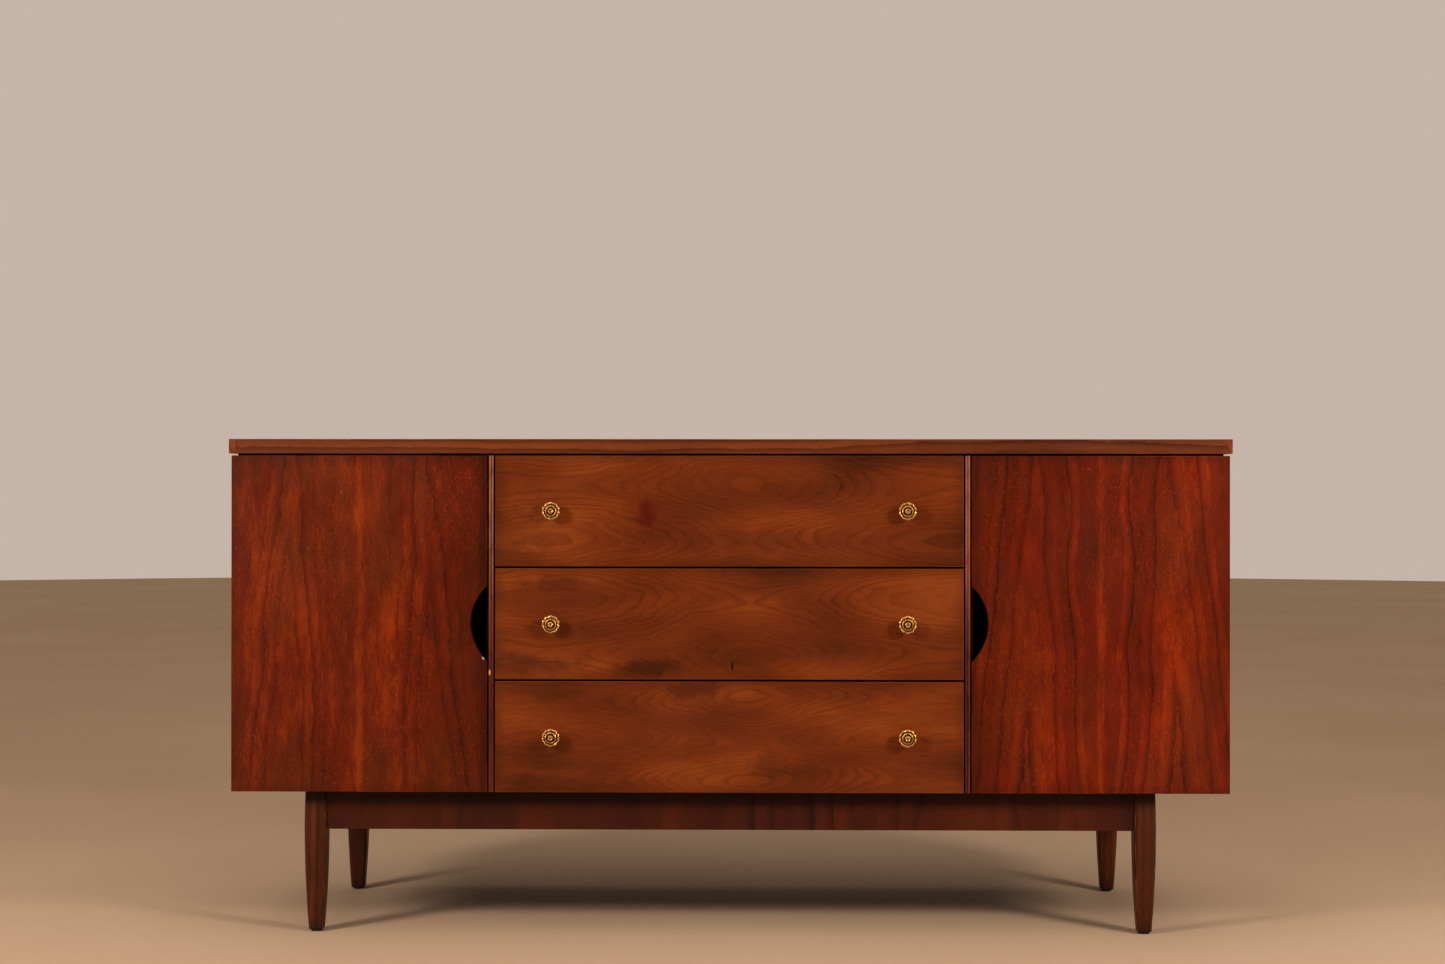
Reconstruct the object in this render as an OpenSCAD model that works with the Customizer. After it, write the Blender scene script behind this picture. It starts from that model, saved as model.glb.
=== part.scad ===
// Low walnut dresser: two hinged doors beside a bank of three drawers, on a
// four-legged base frame. The origin is on the floor, under the middle of the
// object's outer box. +X is to the right, the front faces -Y and +Z is up.

/* [Overall] */
// Width over the top slab
top_w = 1524; // [1250:1:1900]
// Depth of the top slab
top_d = 457; // [400:1:560]
// Height from the floor to the top surface
total_h = 756; // [620:1:900]
// Height from the floor to the underside of the case
base_h = 219; // [170:1:280]

/* [Top] */
// Thickness of the top slab
top_t = 22; // [18:0.5:30]
// Width of the solid edging round the slab
edging_w = 10; // [6:0.5:16]
// How far the slab passes the doors and the ends
overhang = 3; // [0.5:0.5:12]
// Height of the shadow gap under the slab
reveal_h = 3; // [2:0.1:8]
// How far the spacer is set in from the ends
reveal_inset = 6; // [2:0.5:12]

/* [Case] */
// Thickness of the ends, partitions and bottom
panel_t = 19; // [16:0.5:22]
// Thickness of the back
back_t = 4; // [3:0.5:8]
// Width of the rebate that the back sits in
rebate_w = 10; // [6:0.5:12]
// Depth of the two rails under the slab
rail_d = 70; // [45:1:110]
// Width of the beaded strip between a door and the drawers
bead_w = 8; // [6:0.5:14]
// Gap between a bead and the door or drawer beside it
side_gap = 2; // [1.5:0.1:4]

/* [Doors] */
// Thickness of the doors and drawer fronts
front_t = 19; // [16:0.5:25]
// Gap between a closed door and the case, filled by the hinge leaves
hinge_gap = 1.6; // [1.4:0.1:3]
// Radius of the half-moon finger pull's edge
pull_r = 76; // [60:1:100]
// How far the half-moon reaches into the door
pull_depth = 26; // [20:1:40]
// Length of a hinge
hinge_l = 44; // [38:1:60]
// Width of a hinge leaf
leaf_w = 15; // [13:0.5:16]
// Thickness of a hinge leaf
leaf_t = 1.2; // [1:0.1:1.2]
// Radius of a hinge's barrel
barrel_r = 2.4; // [2.2:0.1:3]
// Radius of a hinge's pin
pin_r = 1.2; // [1:0.1:1.4]
// From the end of the door to the middle of a hinge
hinge_inset = 71; // [50:1:110]

/* [Drawers] */
// Width of a drawer front
drawer_w = 712; // [560:1:800]
// Gap between one drawer front and the next
row_gap = 3; // [2:0.5:6]
// Free height over a drawer box, under the case's rails
box_headroom = 6; // [3:0.5:30]
// Free length behind a closed drawer box
box_rear_gap = 47; // [20:1:110]
// Thickness of the box's boards
board_t = 13; // [10:0.5:16]
// Thickness of a drawer bottom
bottom_t = 4; // [3:0.5:6]
// Height of a drawer bottom above the box's lower edge
bottom_up = 12; // [11:0.5:16]
// Clearance at each side of a drawer box
box_gap = 3; // [2:0.5:6]
// Running clearance under a drawer box
slide_gap = 0.4; // [0.2:0.1:1]
// Distance between the two knobs of a drawer
knob_span = 540; // [400:1:620]
// Radius of a knob
knob_r = 14; // [11:0.5:18]
// How far a knob stands out
knob_l = 22; // [18:0.5:32]
// Thickness of the frame under a drawer
frame_t = 16; // [12:0.5:16]
// Width of the frame's members
frame_w = 55; // [35:1:80]
// Width of the centre guide
guide_w = 20; // [14:1:40]
// Height of the centre guide
guide_h = 10; // [6:0.5:10]

/* [Base] */
// Distance from the middle to a leg's axis
leg_x = 635; // [500:1:680]
// Distance from the slab's edge to a leg's axis, front and rear
leg_inset = 45; // [35:1:90]
// Width of a leg where it is widest
leg_w = 34; // [28:0.5:45]
// Width of a leg where it meets the case
leg_head_w = 31.5; // [24:0.5:40]
// Width of a leg at its foot
leg_foot_w = 22; // [18:0.5:30]
// Height at which a leg is widest, as a share of the base's height
leg_belly = 0.73; // [0.5:0.01:0.9]
// Height of the apron
apron_h = 61; // [40:1:80]
// Thickness of the apron
apron_t = 19; // [15:0.5:22]
// How far the apron is set back from a leg's face
apron_set = 6; // [3:0.5:8]
// Thickness of the glide under a foot
glide_t = 3; // [2:0.5:6]

/* [Shelves] */
// Thickness of a shelf
shelf_t = 16; // [12:0.5:19]
// How far a shelf is set back from the case front
shelf_set = 30; // [15:1:80]
// Radius of a shelf pin
peg_r = 3; // [2.5:0.1:4]
// Distance between two heights of a shelf
peg_step = 40; // [30:1:60]

/* [Hidden] */
$fn = 48;

// How far the knobs reach in front of the slab
knob_reach = knob_l - overhang;

// Planes along Y, from the front
slab_y0 = -(top_d + knob_reach) / 2 + knob_reach;
slab_y1 = slab_y0 + top_d;
front_y = slab_y0 + overhang;
front_rear_y = front_y + front_t;
case_y0 = front_rear_y + hinge_gap;
case_y1 = slab_y1 - overhang;
inner_y1 = case_y1 - back_t;
leg_y0 = slab_y0 + leg_inset;
leg_y1 = slab_y1 - leg_inset;

// Planes along Z, from the floor
inner_z0 = base_h + panel_t;
case_z1 = total_h - top_t - reveal_h;
inner_z1 = case_z1 - panel_t;
case_h = case_z1 - base_h;
door_mid_z = base_h + case_h / 2;

// Planes along X, from the middle
case_x = top_w / 2 - overhang;
end_x = case_x - panel_t;
bead_x0 = drawer_w / 2 + side_gap;
bead_x1 = bead_x0 + bead_w;
partition_x0 = (bead_x0 + bead_x1 - panel_t) / 2;
partition_x1 = partition_x0 + panel_t;
door_x0 = bead_x1 + side_gap;
door_margin = 0.5;
door_x1 = case_x - door_margin;

// Hinges: the pin stands in the gap behind the door, at its outer edge
pin_x = door_x1 + 0.1;
pin_y = front_rear_y + hinge_gap / 2;
pin_clear = 0.05;
leaf_gap = 0.1;
leaf_fit = 0.1;
leaf_bed = 0.05;
mortise_d = leaf_t + leaf_gap - hinge_gap / 2 + leaf_bed;
barrel_clear = 0.4;
knuckles = 5;
knuckle_gap = 0.15;
hinge_zs = [base_h + hinge_inset, case_z1 - hinge_inset];
screw_r = 1.4;
screw_l = 14;
screw_head_r = 2.7;
screw_head_t = 0.9;
hole_clear = 0.1;

// Catches: a magnet block under the front rail, and a strike on the door
catch_w = 46;
catch_h = 12;
catch_d = 16;
catch_proud = 0.3;
catch_x0 = partition_x1 + 14;
catch_z1 = inner_z1;
strike_t = 1;
strike_w = 34;
strike_h = 10;

// Drawers: front heights, box places and the dovetails
rows = 3;
row_h = (case_h - (rows - 1) * row_gap) / rows;
function row_z(i) = base_h + i * (row_h + row_gap);
// The top drawer has the lowest opening, between its frame and the top rail
box_h = row_h - 2 * panel_t - slide_gap - box_headroom;
box_x = partition_x0 - box_gap;
box_y0 = front_rear_y;
box_y1 = inner_y1 - box_rear_gap;
box_l = box_y1 - box_y0;
function box_z(i) = row_z(i) + panel_t + slide_gap;
groove = 6;
groove_fit = 0.05;
tails = 4;
tail_flare = 3;
back_z = bottom_up + bottom_t;
guide_y0 = box_y0 + board_t + 4;
guide_fit = 1.5;
runner_w = 14;
runner_clear = 0.3;
knob_screw_r = 2;
knob_screw_head_r = 4;
knob_screw_head_t = 2.5;
knob_bore_l = 11;
knob_fit = 0.08;

// Shelf pins
peg_l = 18;
peg_in = 9;
peg_fit = 0.1;
peg_rows = 5;
shelf_side_gap = 1.2;
shelf_y0 = case_y0 + shelf_set;
shelf_y1 = inner_y1 - 2;
peg_ys = [shelf_y0 + 45, shelf_y1 - 45];
shelf_peg_z = door_mid_z - 2 * peg_step;

// Legs curve by a parabola above the belly and another below it
leg_round = 0.17;
leg_steps = 9;
foot_z = glide_t + 3;
foot_chamfer = 2;
glide_r = leg_foot_w / 2 - 2.5;
belly_z = base_h * leg_belly;
function leg_width(z) = z > belly_z
    ? leg_w - (leg_w - leg_head_w) * pow((z - belly_z) / (base_h - belly_z), 2)
    : leg_w - (leg_w - leg_foot_w) * pow((belly_z - z) / (belly_z - foot_z), 2);
apron_z0 = base_h - apron_h;
// The aprons' ends are let into the legs, past a leg's narrowest place
apron_let_in = 2;
apron_end = leg_head_w / 2 - apron_let_in;
apron_front_y = leg_y0 - leg_w / 2 + apron_set;
apron_rear_y = leg_y1 + leg_w / 2 - apron_set;
apron_side_x = leg_x + leg_w / 2 - apron_set;

// Screws in the back and the base
back_screw_r = 1.6;
back_screw_head_r = 3.4;
back_screw_head_t = 1.6;
back_screw_l = 16;
base_screw_r = 2.5;
base_screw_head_r = 5;
base_screw_head_t = 3;
base_screw_l = 56;
block_leg = 70;
block_h = 42;
block_gap = 1;
top_screw_r = 2.2;
top_screw_head_r = 4.5;
top_screw_head_t = 2.5;
top_screw_l = 33;

// A box between two corners
module span(a, b) {
    translate(a) cube(b - a);
}

module both_sides() {
    children();
    mirror([1, 0, 0]) children();
}

module one_side(left) {
    if (left) mirror([1, 0, 0]) children();
    else children();
}

// A cylinder along Y, from y0 to y1
module rod_y(x, z, r, y0, y1) {
    translate([x, y0, z]) rotate([-90, 0, 0]) cylinder(r = r, h = y1 - y0);
}

// A cylinder along X, from x0 to x1
module rod_x(y, z, r, x0, x1) {
    translate([x0, y, z]) rotate([0, 90, 0]) cylinder(r = r, h = x1 - x0);
}

// A cylinder along Z, from z0 to z1
module rod_z(x, y, r, z0, z1) {
    translate([x, y, z0]) cylinder(r = r, h = z1 - z0);
}

// ---- Top ----

module top_panel() {
    color([0.42, 0.20, 0.09])
    difference() {
        span([-top_w / 2 + edging_w, slab_y0 + edging_w, total_h - top_t],
             [top_w / 2 - edging_w, slab_y1, total_h]);
        top_screw_holes(case_z1 - panel_t + top_screw_l + 0.5);
    }
}

module top_front_edging() {
    color([0.45, 0.21, 0.10])
    span([-top_w / 2 + edging_w, slab_y0, total_h - top_t],
         [top_w / 2 - edging_w, slab_y0 + edging_w, total_h]);
}

module top_side_edgings() {
    color([0.45, 0.21, 0.10])
    both_sides()
    span([top_w / 2 - edging_w, slab_y0, total_h - top_t],
         [top_w / 2, slab_y1, total_h]);
}

strip_joint = 0.5;
strip_set = 1;

// Black strips that lift the slab off the case
module reveal_spacer() {
    strip = panel_t - reveal_inset;
    color([0.03, 0.03, 0.03]) {
        difference() {
            span([-case_x + reveal_inset, case_y0 + strip_set, case_z1],
                 [case_x - reveal_inset, case_y0 + rail_d, total_h - top_t]);
            top_screw_holes(total_h);
        }
        difference() {
            span([-case_x + reveal_inset, inner_y1 - rail_d, case_z1],
                 [case_x - reveal_inset, inner_y1, total_h - top_t]);
            top_screw_holes(total_h);
        }
        both_sides()
            span([case_x - reveal_inset - strip, case_y0 + rail_d + strip_joint, case_z1],
                 [case_x - reveal_inset, inner_y1 - rail_d - strip_joint, total_h - top_t]);
    }
}

// ---- Case ----

module hinge_mortises() {
    for (z = hinge_zs) {
        span([pin_x - leaf_w - leaf_fit, case_y0 - 1, z - hinge_l / 2 - leaf_fit],
             [case_x + 1, case_y0 + mortise_d, z + hinge_l / 2 + leaf_fit]);
        rod_z(pin_x, pin_y, barrel_r + barrel_clear,
              z - hinge_l / 2 - 1.5, z + hinge_l / 2 + 1.5);
        leaf_screw_holes(z, case_y0 - 1, case_y0 + screw_l + 1);
    }
}

function leaf_screw_zs(z) = [z - hinge_l / 3, z, z + hinge_l / 3];
leaf_screw_x = pin_x - leaf_w * 0.55;

module leaf_screw_holes(z, y0, y1) {
    for (sz = leaf_screw_zs(z)) rod_y(leaf_screw_x, sz, screw_r + hole_clear, y0, y1);
}

function peg_z(k) = shelf_peg_z + (k - 1) * peg_step;

// Blind holes for the shelf pins, open towards one side bay
module peg_holes(x0, x1) {
    for (y = peg_ys, k = [0 : peg_rows - 1])
        rod_x(y, peg_z(k), peg_r + peg_fit, x0, x1);
}

module end_panel(left) {
    color([0.36, 0.15, 0.07])
    one_side(left)
    difference() {
        span([end_x, case_y0, base_h], [case_x, case_y1, case_z1]);
        span([end_x - 1, inner_y1, base_h - 1],
             [end_x + rebate_w, case_y1 + 1, case_z1 + 1]);
        hinge_mortises();
        peg_holes(end_x - 1, end_x + peg_in + 0.5);
        back_screw_holes(inner_y1 - back_screw_l);
    }
}

module partition(left) {
    color([0.36, 0.15, 0.07])
    one_side(left)
    difference() {
        span([partition_x0, case_y0, inner_z0], [partition_x1, inner_y1, inner_z1]);
        peg_holes(partition_x1 - peg_in - 0.5, partition_x1 + 1);
    }
}

module case_bottom() {
    color([0.40, 0.20, 0.10])
    difference() {
        span([-end_x, case_y0, base_h], [end_x, inner_y1, inner_z0]);
        base_screw_holes(base_h - 1, base_h + panel_t - 3);
        back_screw_holes(inner_y1 - back_screw_l);
    }
}

module front_top_rail() {
    color([0.50, 0.30, 0.16])
    difference() {
        span([-end_x, case_y0, inner_z1], [end_x, case_y0 + rail_d, case_z1]);
        top_screw_holes(total_h);
    }
}

module rear_top_rail() {
    color([0.50, 0.30, 0.16])
    difference() {
        span([-end_x, inner_y1 - rail_d, inner_z1], [end_x, inner_y1, case_z1]);
        top_screw_holes(total_h);
        back_screw_holes(inner_y1 - back_screw_l);
    }
}

back_fit = 0.5;

module back_panel() {
    color([0.30, 0.20, 0.13])
    difference() {
        span([-end_x - rebate_w + back_fit, inner_y1, base_h + back_fit],
             [end_x + rebate_w - back_fit, case_y1, case_z1 - back_fit]);
        back_screw_holes(inner_y1 - 1);
    }
}

// The strip's front edge is worked into two beads
module bead_strip(left) {
    r = bead_w / 4;
    color([0.45, 0.20, 0.10])
    one_side(left)
    translate([bead_x0, 0, base_h])
    linear_extrude(height = case_h) {
        translate([0, front_y + r]) square([bead_w, case_y0 - front_y - r]);
        for (x = [r, 3 * r]) translate([x, front_y + r]) circle(r = r);
    }
}

// ---- Drawer bay ----

// The front and rear rails of the frames under the two upper drawers
module drawer_rails() {
    color([0.62, 0.46, 0.28])
    for (i = [1 : rows - 1]) {
        z1 = row_z(i) + panel_t;
        span([-partition_x0, case_y0, z1 - frame_t],
             [partition_x0, case_y0 + frame_w, z1]);
        span([-partition_x0, inner_y1 - frame_w, z1 - frame_t],
             [partition_x0, inner_y1, z1]);
    }
}

// The frames' side members, which carry the drawers' sides
module drawer_bearers() {
    color([0.62, 0.46, 0.28])
    both_sides() for (i = [1 : rows - 1]) {
        z1 = row_z(i) + panel_t;
        span([partition_x0 - frame_w, case_y0 + frame_w, z1 - frame_t],
             [partition_x0, inner_y1 - frame_w, z1]);
    }
}

module drawer_guides() {
    color([0.66, 0.50, 0.32])
    for (i = [0 : rows - 1])
        span([-guide_w / 2, guide_y0, row_z(i) + panel_t],
             [guide_w / 2, inner_y1, row_z(i) + panel_t + guide_h]);
}

// ---- Shelves ----

module shelf(left) {
    color([0.42, 0.22, 0.12])
    one_side(left)
    span([partition_x1 + shelf_side_gap, shelf_y0, shelf_peg_z + peg_r],
         [end_x - shelf_side_gap, shelf_y1, shelf_peg_z + peg_r + shelf_t]);
}

module shelf_pins() {
    color([0.72, 0.56, 0.28])
    both_sides()
    for (y = peg_ys) {
        rod_x(y, shelf_peg_z, peg_r, end_x - (peg_l - peg_in), end_x + peg_in);
        rod_x(y, shelf_peg_z, peg_r, partition_x1 - peg_in, partition_x1 + peg_l - peg_in);
    }
}

// ---- Base ----

slice_t = 0.01;

module leg_slice(z, w) {
    translate([0, 0, z]) linear_extrude(height = slice_t)
        offset(r = w * leg_round, $fn = 24) square(w * (1 - 2 * leg_round), center = true);
}

// A square leg with rounded corners, slim at the top, fullest near the apron
// and tapered to the foot
module leg(x, y) {
    color([0.30, 0.14, 0.07])
    difference() {
        translate([x, y, 0]) hull() {
            leg_slice(glide_t, leg_width(foot_z) - 2 * foot_chamfer);
            for (k = [0 : leg_steps]) {
                z = foot_z + (base_h - slice_t - foot_z) * k / leg_steps;
                leg_slice(z, leg_width(z));
            }
        }
        long_apron(apron_front_y, apron_front_y + apron_t);
        long_apron(apron_rear_y - apron_t, apron_rear_y);
        side_aprons();
    }
}

module foot_glides() {
    color([0.10, 0.09, 0.08])
    for (x = [-leg_x, leg_x], y = [leg_y0, leg_y1])
        rod_z(x, y, glide_r, 0, glide_t);
}

// An apron board along X, with its ends against the legs
module long_apron(y0, y1) {
    color([0.28, 0.12, 0.06])
    span([-leg_x + apron_end, y0, apron_z0], [leg_x - apron_end, y1, base_h]);
}

module side_aprons() {
    color([0.28, 0.12, 0.06])
    both_sides()
    span([apron_side_x - apron_t, leg_y0 + apron_end, apron_z0],
         [apron_side_x, leg_y1 - apron_end, base_h]);
}

// Triangular glue blocks in the corners of the base
module corner_blocks() {
    z1 = base_h;
    x1 = apron_side_x - apron_t;
    y0 = apron_front_y + apron_t;
    y1 = apron_rear_y - apron_t;
    notch = max(leg_w, leg_head_w) / 2 + block_gap;
    lx = leg_x - notch;
    color([0.60, 0.44, 0.27])
    difference() {
        both_sides() for (front = [true, false]) {
            ya = front ? y0 : y1;
            s = front ? 1 : -1;
            yl = front ? leg_y0 + notch : leg_y1 - notch;
            translate([0, 0, z1 - block_h]) linear_extrude(height = block_h)
                polygon([[lx, ya], [lx, yl], [x1, yl], [x1, ya + s * (x1 - lx + block_leg)],
                         [lx - block_leg, ya]]);
        }
        base_screw_holes(base_h - block_h - 1, base_h + 1);
    }
}

base_screw_x = leg_x - leg_w / 2 - 18;
base_screw_ys = [leg_y0 + leg_w / 2 + 18, leg_y1 - leg_w / 2 - 18];

module base_screw_holes(z0, z1) {
    for (x = [-base_screw_x, base_screw_x], y = base_screw_ys)
        rod_z(x, y, base_screw_r + hole_clear, z0, z1);
}

// ---- Fasteners of the case ----

back_screw_xs = [for (k = [0 : 5]) (k / 5 - 0.5) * 2 * (end_x - 60)];
back_screw_zs = [base_h + panel_t / 2, case_z1 - panel_t / 2];
back_side_zs = [for (k = [1 : 3]) base_h + case_h * k / 4];
back_side_x = end_x + rebate_w / 2;

module back_screw_places() {
    for (x = back_screw_xs, z = back_screw_zs) translate([x, 0, z]) children();
    for (x = [-back_side_x, back_side_x], z = back_side_zs) translate([x, 0, z]) children();
}

module back_screw_holes(y0) {
    back_screw_places() rod_y(0, 0, back_screw_r + hole_clear, y0, case_y1 + 1);
}

module back_panel_screws() {
    color([0.35, 0.33, 0.30])
    back_screw_places() {
        rod_y(0, 0, back_screw_r, case_y1 - back_screw_l, case_y1 + 0.2);
        translate([0, case_y1, 0]) rotate([-90, 0, 0])
            cylinder(r1 = back_screw_head_r, r2 = back_screw_head_r * 0.7, h = back_screw_head_t);
    }
}

top_screw_xs = [-end_x + 90, 0, end_x - 90];
top_screw_ys = [case_y0 + rail_d / 2, inner_y1 - rail_d / 2];

module top_screw_holes(z1) {
    for (x = top_screw_xs, y = top_screw_ys)
        rod_z(x, y, top_screw_r + hole_clear, inner_z1 - 1, z1);
}

// The screws that hold the slab, the base and the hinges' case leaves
module case_screws() {
    color([0.45, 0.42, 0.36]) {
        for (x = top_screw_xs, y = top_screw_ys) {
            rod_z(x, y, top_screw_r, inner_z1 - 0.2, inner_z1 + top_screw_l);
            rod_z(x, y, top_screw_head_r, inner_z1 - top_screw_head_t, inner_z1);
        }
        for (x = [-base_screw_x, base_screw_x], y = base_screw_ys) {
            rod_z(x, y, base_screw_r, base_h - block_h - 0.2, base_h - block_h + base_screw_l);
            rod_z(x, y, base_screw_head_r, base_h - block_h - base_screw_head_t, base_h - block_h);
        }
        both_sides() for (z = hinge_zs, sz = leaf_screw_zs(z))
            leaf_screw(sz, pin_y + leaf_gap + leaf_t, 1);
    }
}

// A countersunk screw in a leaf: its head lies in the leaf's thickness
module leaf_screw(z, y, dir) {
    translate([leaf_screw_x, y - dir * leaf_t, z]) rotate([dir > 0 ? -90 : 90, 0, 0])
        cylinder(r1 = screw_head_r, r2 = screw_r, h = screw_head_t);
    rod_y(leaf_screw_x, z, screw_r,
          dir > 0 ? y - leaf_t + screw_head_t / 2 : y - screw_l,
          dir > 0 ? y + screw_l : y + leaf_t - screw_head_t / 2);
}

// ---- Hinges and catches ----

knuckle_l = hinge_l / knuckles;

// One leaf with its knuckles; dir is 1 on the case and -1 on the door
module hinge_leaf(z, dir) {
    y0 = dir > 0 ? pin_y + leaf_gap : pin_y - leaf_gap - leaf_t;
    face_y = pin_y + dir * leaf_gap;
    own = dir > 0 ? [0, 2, 4] : [1, 3];
    difference() {
        union() {
            span([pin_x - leaf_w, y0, z - hinge_l / 2],
                 [pin_x - barrel_r - 0.25, y0 + leaf_t, z + hinge_l / 2]);
            for (k = own) {
                z0 = z - hinge_l / 2 + k * knuckle_l + (k > 0 ? knuckle_gap / 2 : 0);
                z1 = z - hinge_l / 2 + (k + 1) * knuckle_l
                     - (k < knuckles - 1 ? knuckle_gap / 2 : 0);
                span([pin_x - barrel_r - 1, y0, z0], [pin_x, y0 + leaf_t, z1]);
                rod_z(pin_x, pin_y, barrel_r, z0, z1);
            }
        }
        rod_z(pin_x, pin_y, pin_r + pin_clear, z - hinge_l, z + hinge_l);
        for (sz = leaf_screw_zs(z)) {
            rod_y(leaf_screw_x, sz, screw_r + hole_clear, pin_y - 5, pin_y + 5);
            translate([leaf_screw_x, face_y, sz]) rotate([dir > 0 ? -90 : 90, 0, 0])
                cylinder(r1 = screw_head_r + hole_clear, r2 = screw_r + hole_clear,
                         h = screw_head_t);
        }
    }
}

module case_hinge_leaves() {
    color([0.70, 0.53, 0.26])
    both_sides() for (z = hinge_zs) hinge_leaf(z, 1);
}

module hinge_pins() {
    color([0.74, 0.58, 0.30])
    both_sides() for (z = hinge_zs) {
        rod_z(pin_x, pin_y, pin_r, z - hinge_l / 2 - 0.5, z + hinge_l / 2 + 0.5);
        for (s = [-1, 1])
            translate([pin_x, pin_y, z + s * (hinge_l / 2 + 0.7)])
                cylinder(r = pin_r * 1.4, h = 0.9, center = true);
    }
}

module door_catches() {
    color([0.25, 0.14, 0.08])
    both_sides()
    span([catch_x0, case_y0 - catch_proud, catch_z1 - catch_h],
         [catch_x0 + catch_w, case_y0 + catch_d, catch_z1]);
}

// ---- Doors ----

module door(left) {
    color([0.48, 0.15, 0.06])
    one_side(left)
    difference() {
        span([door_x0, front_y, base_h], [door_x1, front_rear_y, case_z1]);
        rod_y(door_x0 + pull_depth - pull_r, door_mid_z, pull_r, front_y - 1, front_rear_y + 1,
              $fn = 160);
        for (z = hinge_zs) {
            span([pin_x - leaf_w - leaf_fit, front_rear_y - mortise_d,
                  z - hinge_l / 2 - leaf_fit],
                 [door_x1 + 1, front_rear_y + 1, z + hinge_l / 2 + leaf_fit]);
            rod_z(pin_x, pin_y, barrel_r + barrel_clear,
                  z - hinge_l / 2 - 1.5, z + hinge_l / 2 + 1.5);
            leaf_screw_holes(z, front_rear_y - screw_l - 1, front_rear_y + 1);
        }
    }
}

module door_hinge_leaves(left) {
    color([0.70, 0.53, 0.26])
    one_side(left) for (z = hinge_zs) hinge_leaf(z, -1);
}

module door_screws(left) {
    color([0.60, 0.46, 0.24])
    one_side(left) for (z = hinge_zs, sz = leaf_screw_zs(z))
        leaf_screw(sz, pin_y - leaf_gap - leaf_t, -1);
}

module door_strike(left) {
    x0 = catch_x0 + (catch_w - strike_w) / 2;
    z0 = catch_z1 - (catch_h + strike_h) / 2;
    color([0.60, 0.60, 0.58])
    one_side(left)
    span([x0, front_rear_y, z0], [x0 + strike_w, front_rear_y + strike_t, z0 + strike_h]);
}

// ---- Drawers ----

module knob_places(i) {
    for (x = [-knob_span / 2, knob_span / 2])
        translate([x, 0, row_z(i) + row_h / 2]) children();
}

module drawer_front(i) {
    color([0.43, 0.19, 0.09])
    difference() {
        span([-drawer_w / 2, front_y, row_z(i)], [drawer_w / 2, front_rear_y, row_z(i) + row_h]);
        knob_places(i)
            rod_y(0, 0, knob_screw_r + hole_clear, front_y - 1, front_rear_y + 1);
    }
}

// Dovetails along one end of a side, between two heights: each is wider at its tip
module tail_row(z0, z1, tip) {
    pitch = (z1 - z0) / tails;
    for (k = [0 : tails - 1]) {
        a = z0 + (k + 0.18) * pitch;
        b = z0 + (k + 0.82) * pitch;
        polygon([[0, a + tail_flare / 2], [tip, a - tail_flare / 2],
                 [tip, b + tail_flare / 2], [0, b - tail_flare / 2]]);
    }
}

// A side's outline, with Y to the right and Z up, and its tails at both ends
module side_outline() {
    translate([board_t, 0]) square([box_l - 2 * board_t, box_h]);
    translate([board_t, 0]) tail_row(0, box_h, -board_t);
    translate([box_l - board_t, 0]) tail_row(back_z, box_h, board_t);
}

// The two sides, without their grooves
module side_pair(i) {
    both_sides()
    translate([box_x, box_y0, box_z(i)])
    rotate([90, 0, 90]) translate([0, 0, -board_t])
    linear_extrude(height = board_t) side_outline();
}

// The space that the bottom needs in the boards round it
module bottom_space(i, fit) {
    span([-box_x + board_t - groove - fit, box_y0 + board_t - groove - fit,
          box_z(i) + bottom_up - fit],
         [box_x - board_t + groove + fit, box_y1, box_z(i) + bottom_up + bottom_t + fit]);
}

module drawer_sides(i) {
    color([0.70, 0.54, 0.36])
    difference() {
        side_pair(i);
        difference() {
            bottom_space(i, groove_fit);
            span([-box_x, box_y0 - 1, box_z(i)],
                 [box_x, box_y0 + board_t - groove - groove_fit, box_z(i) + box_h]);
        }
    }
}

// The box's front board and its back, cut to the sides' tails
module drawer_ends(i) {
    color([0.68, 0.52, 0.34])
    difference() {
        union() {
            span([-box_x, box_y0, box_z(i)], [box_x, box_y0 + board_t, box_z(i) + box_h]);
            span([-box_x, box_y1 - board_t, box_z(i) + back_z],
                 [box_x, box_y1, box_z(i) + box_h]);
        }
        side_pair(i);
        bottom_space(i, groove_fit);
        knob_places(i)
            rod_y(0, 0, knob_screw_r + hole_clear, box_y0 - 1, box_y0 + board_t + 1);
    }
}

module drawer_bottom(i) {
    color([0.52, 0.36, 0.22])
    bottom_space(i, 0);
}

// Two strips under the bottom that run along the centre guide
module drawer_runners(i) {
    x0 = guide_w / 2 + guide_fit;
    color([0.66, 0.50, 0.32])
    both_sides()
    span([x0, box_y0 + board_t + 1, box_z(i) + runner_clear],
         [x0 + runner_w, box_y1, box_z(i) + bottom_up]);
}

// A turned rosette: rings that rise in steps to a dimpled middle
module knob_body() {
    k = knob_r / 14;
    h = knob_l / 24;
    rotate([90, 0, 0]) rotate_extrude($fn = 64)
    polygon([[0, 0], [6.5 * k, 0], [6.5 * k, 1.5 * h], [4.6 * k, 4 * h], [4.6 * k, 8 * h],
             [8 * k, 11.5 * h], [13 * k, 14 * h], [14 * k, 15.6 * h], [13.6 * k, 17.4 * h],
             [12 * k, 18.4 * h], [10.9 * k, 17.8 * h], [10.2 * k, 18.4 * h], [9.2 * k, 20.4 * h],
             [8 * k, 21 * h], [6.9 * k, 20.4 * h], [6.1 * k, 20 * h], [5.2 * k, 21.6 * h],
             [4.2 * k, 23.5 * h], [3 * k, knob_l], [1.8 * k, 23.6 * h], [0, 22.6 * h]]);
}

module drawer_knobs(i) {
    head_y = box_y0 + board_t;
    color([0.78, 0.60, 0.30])
    knob_places(i) {
        difference() {
            translate([0, front_y, 0]) knob_body();
            rod_y(0, 0, knob_screw_r + knob_fit, front_y - knob_bore_l, front_y + 1);
        }
        rod_y(0, 0, knob_screw_r, front_y - knob_bore_l + 1, head_y + 0.2);
        rod_y(0, 0, knob_screw_head_r, head_y, head_y + knob_screw_head_t);
    }
}

// ---- Nodes ----

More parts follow.
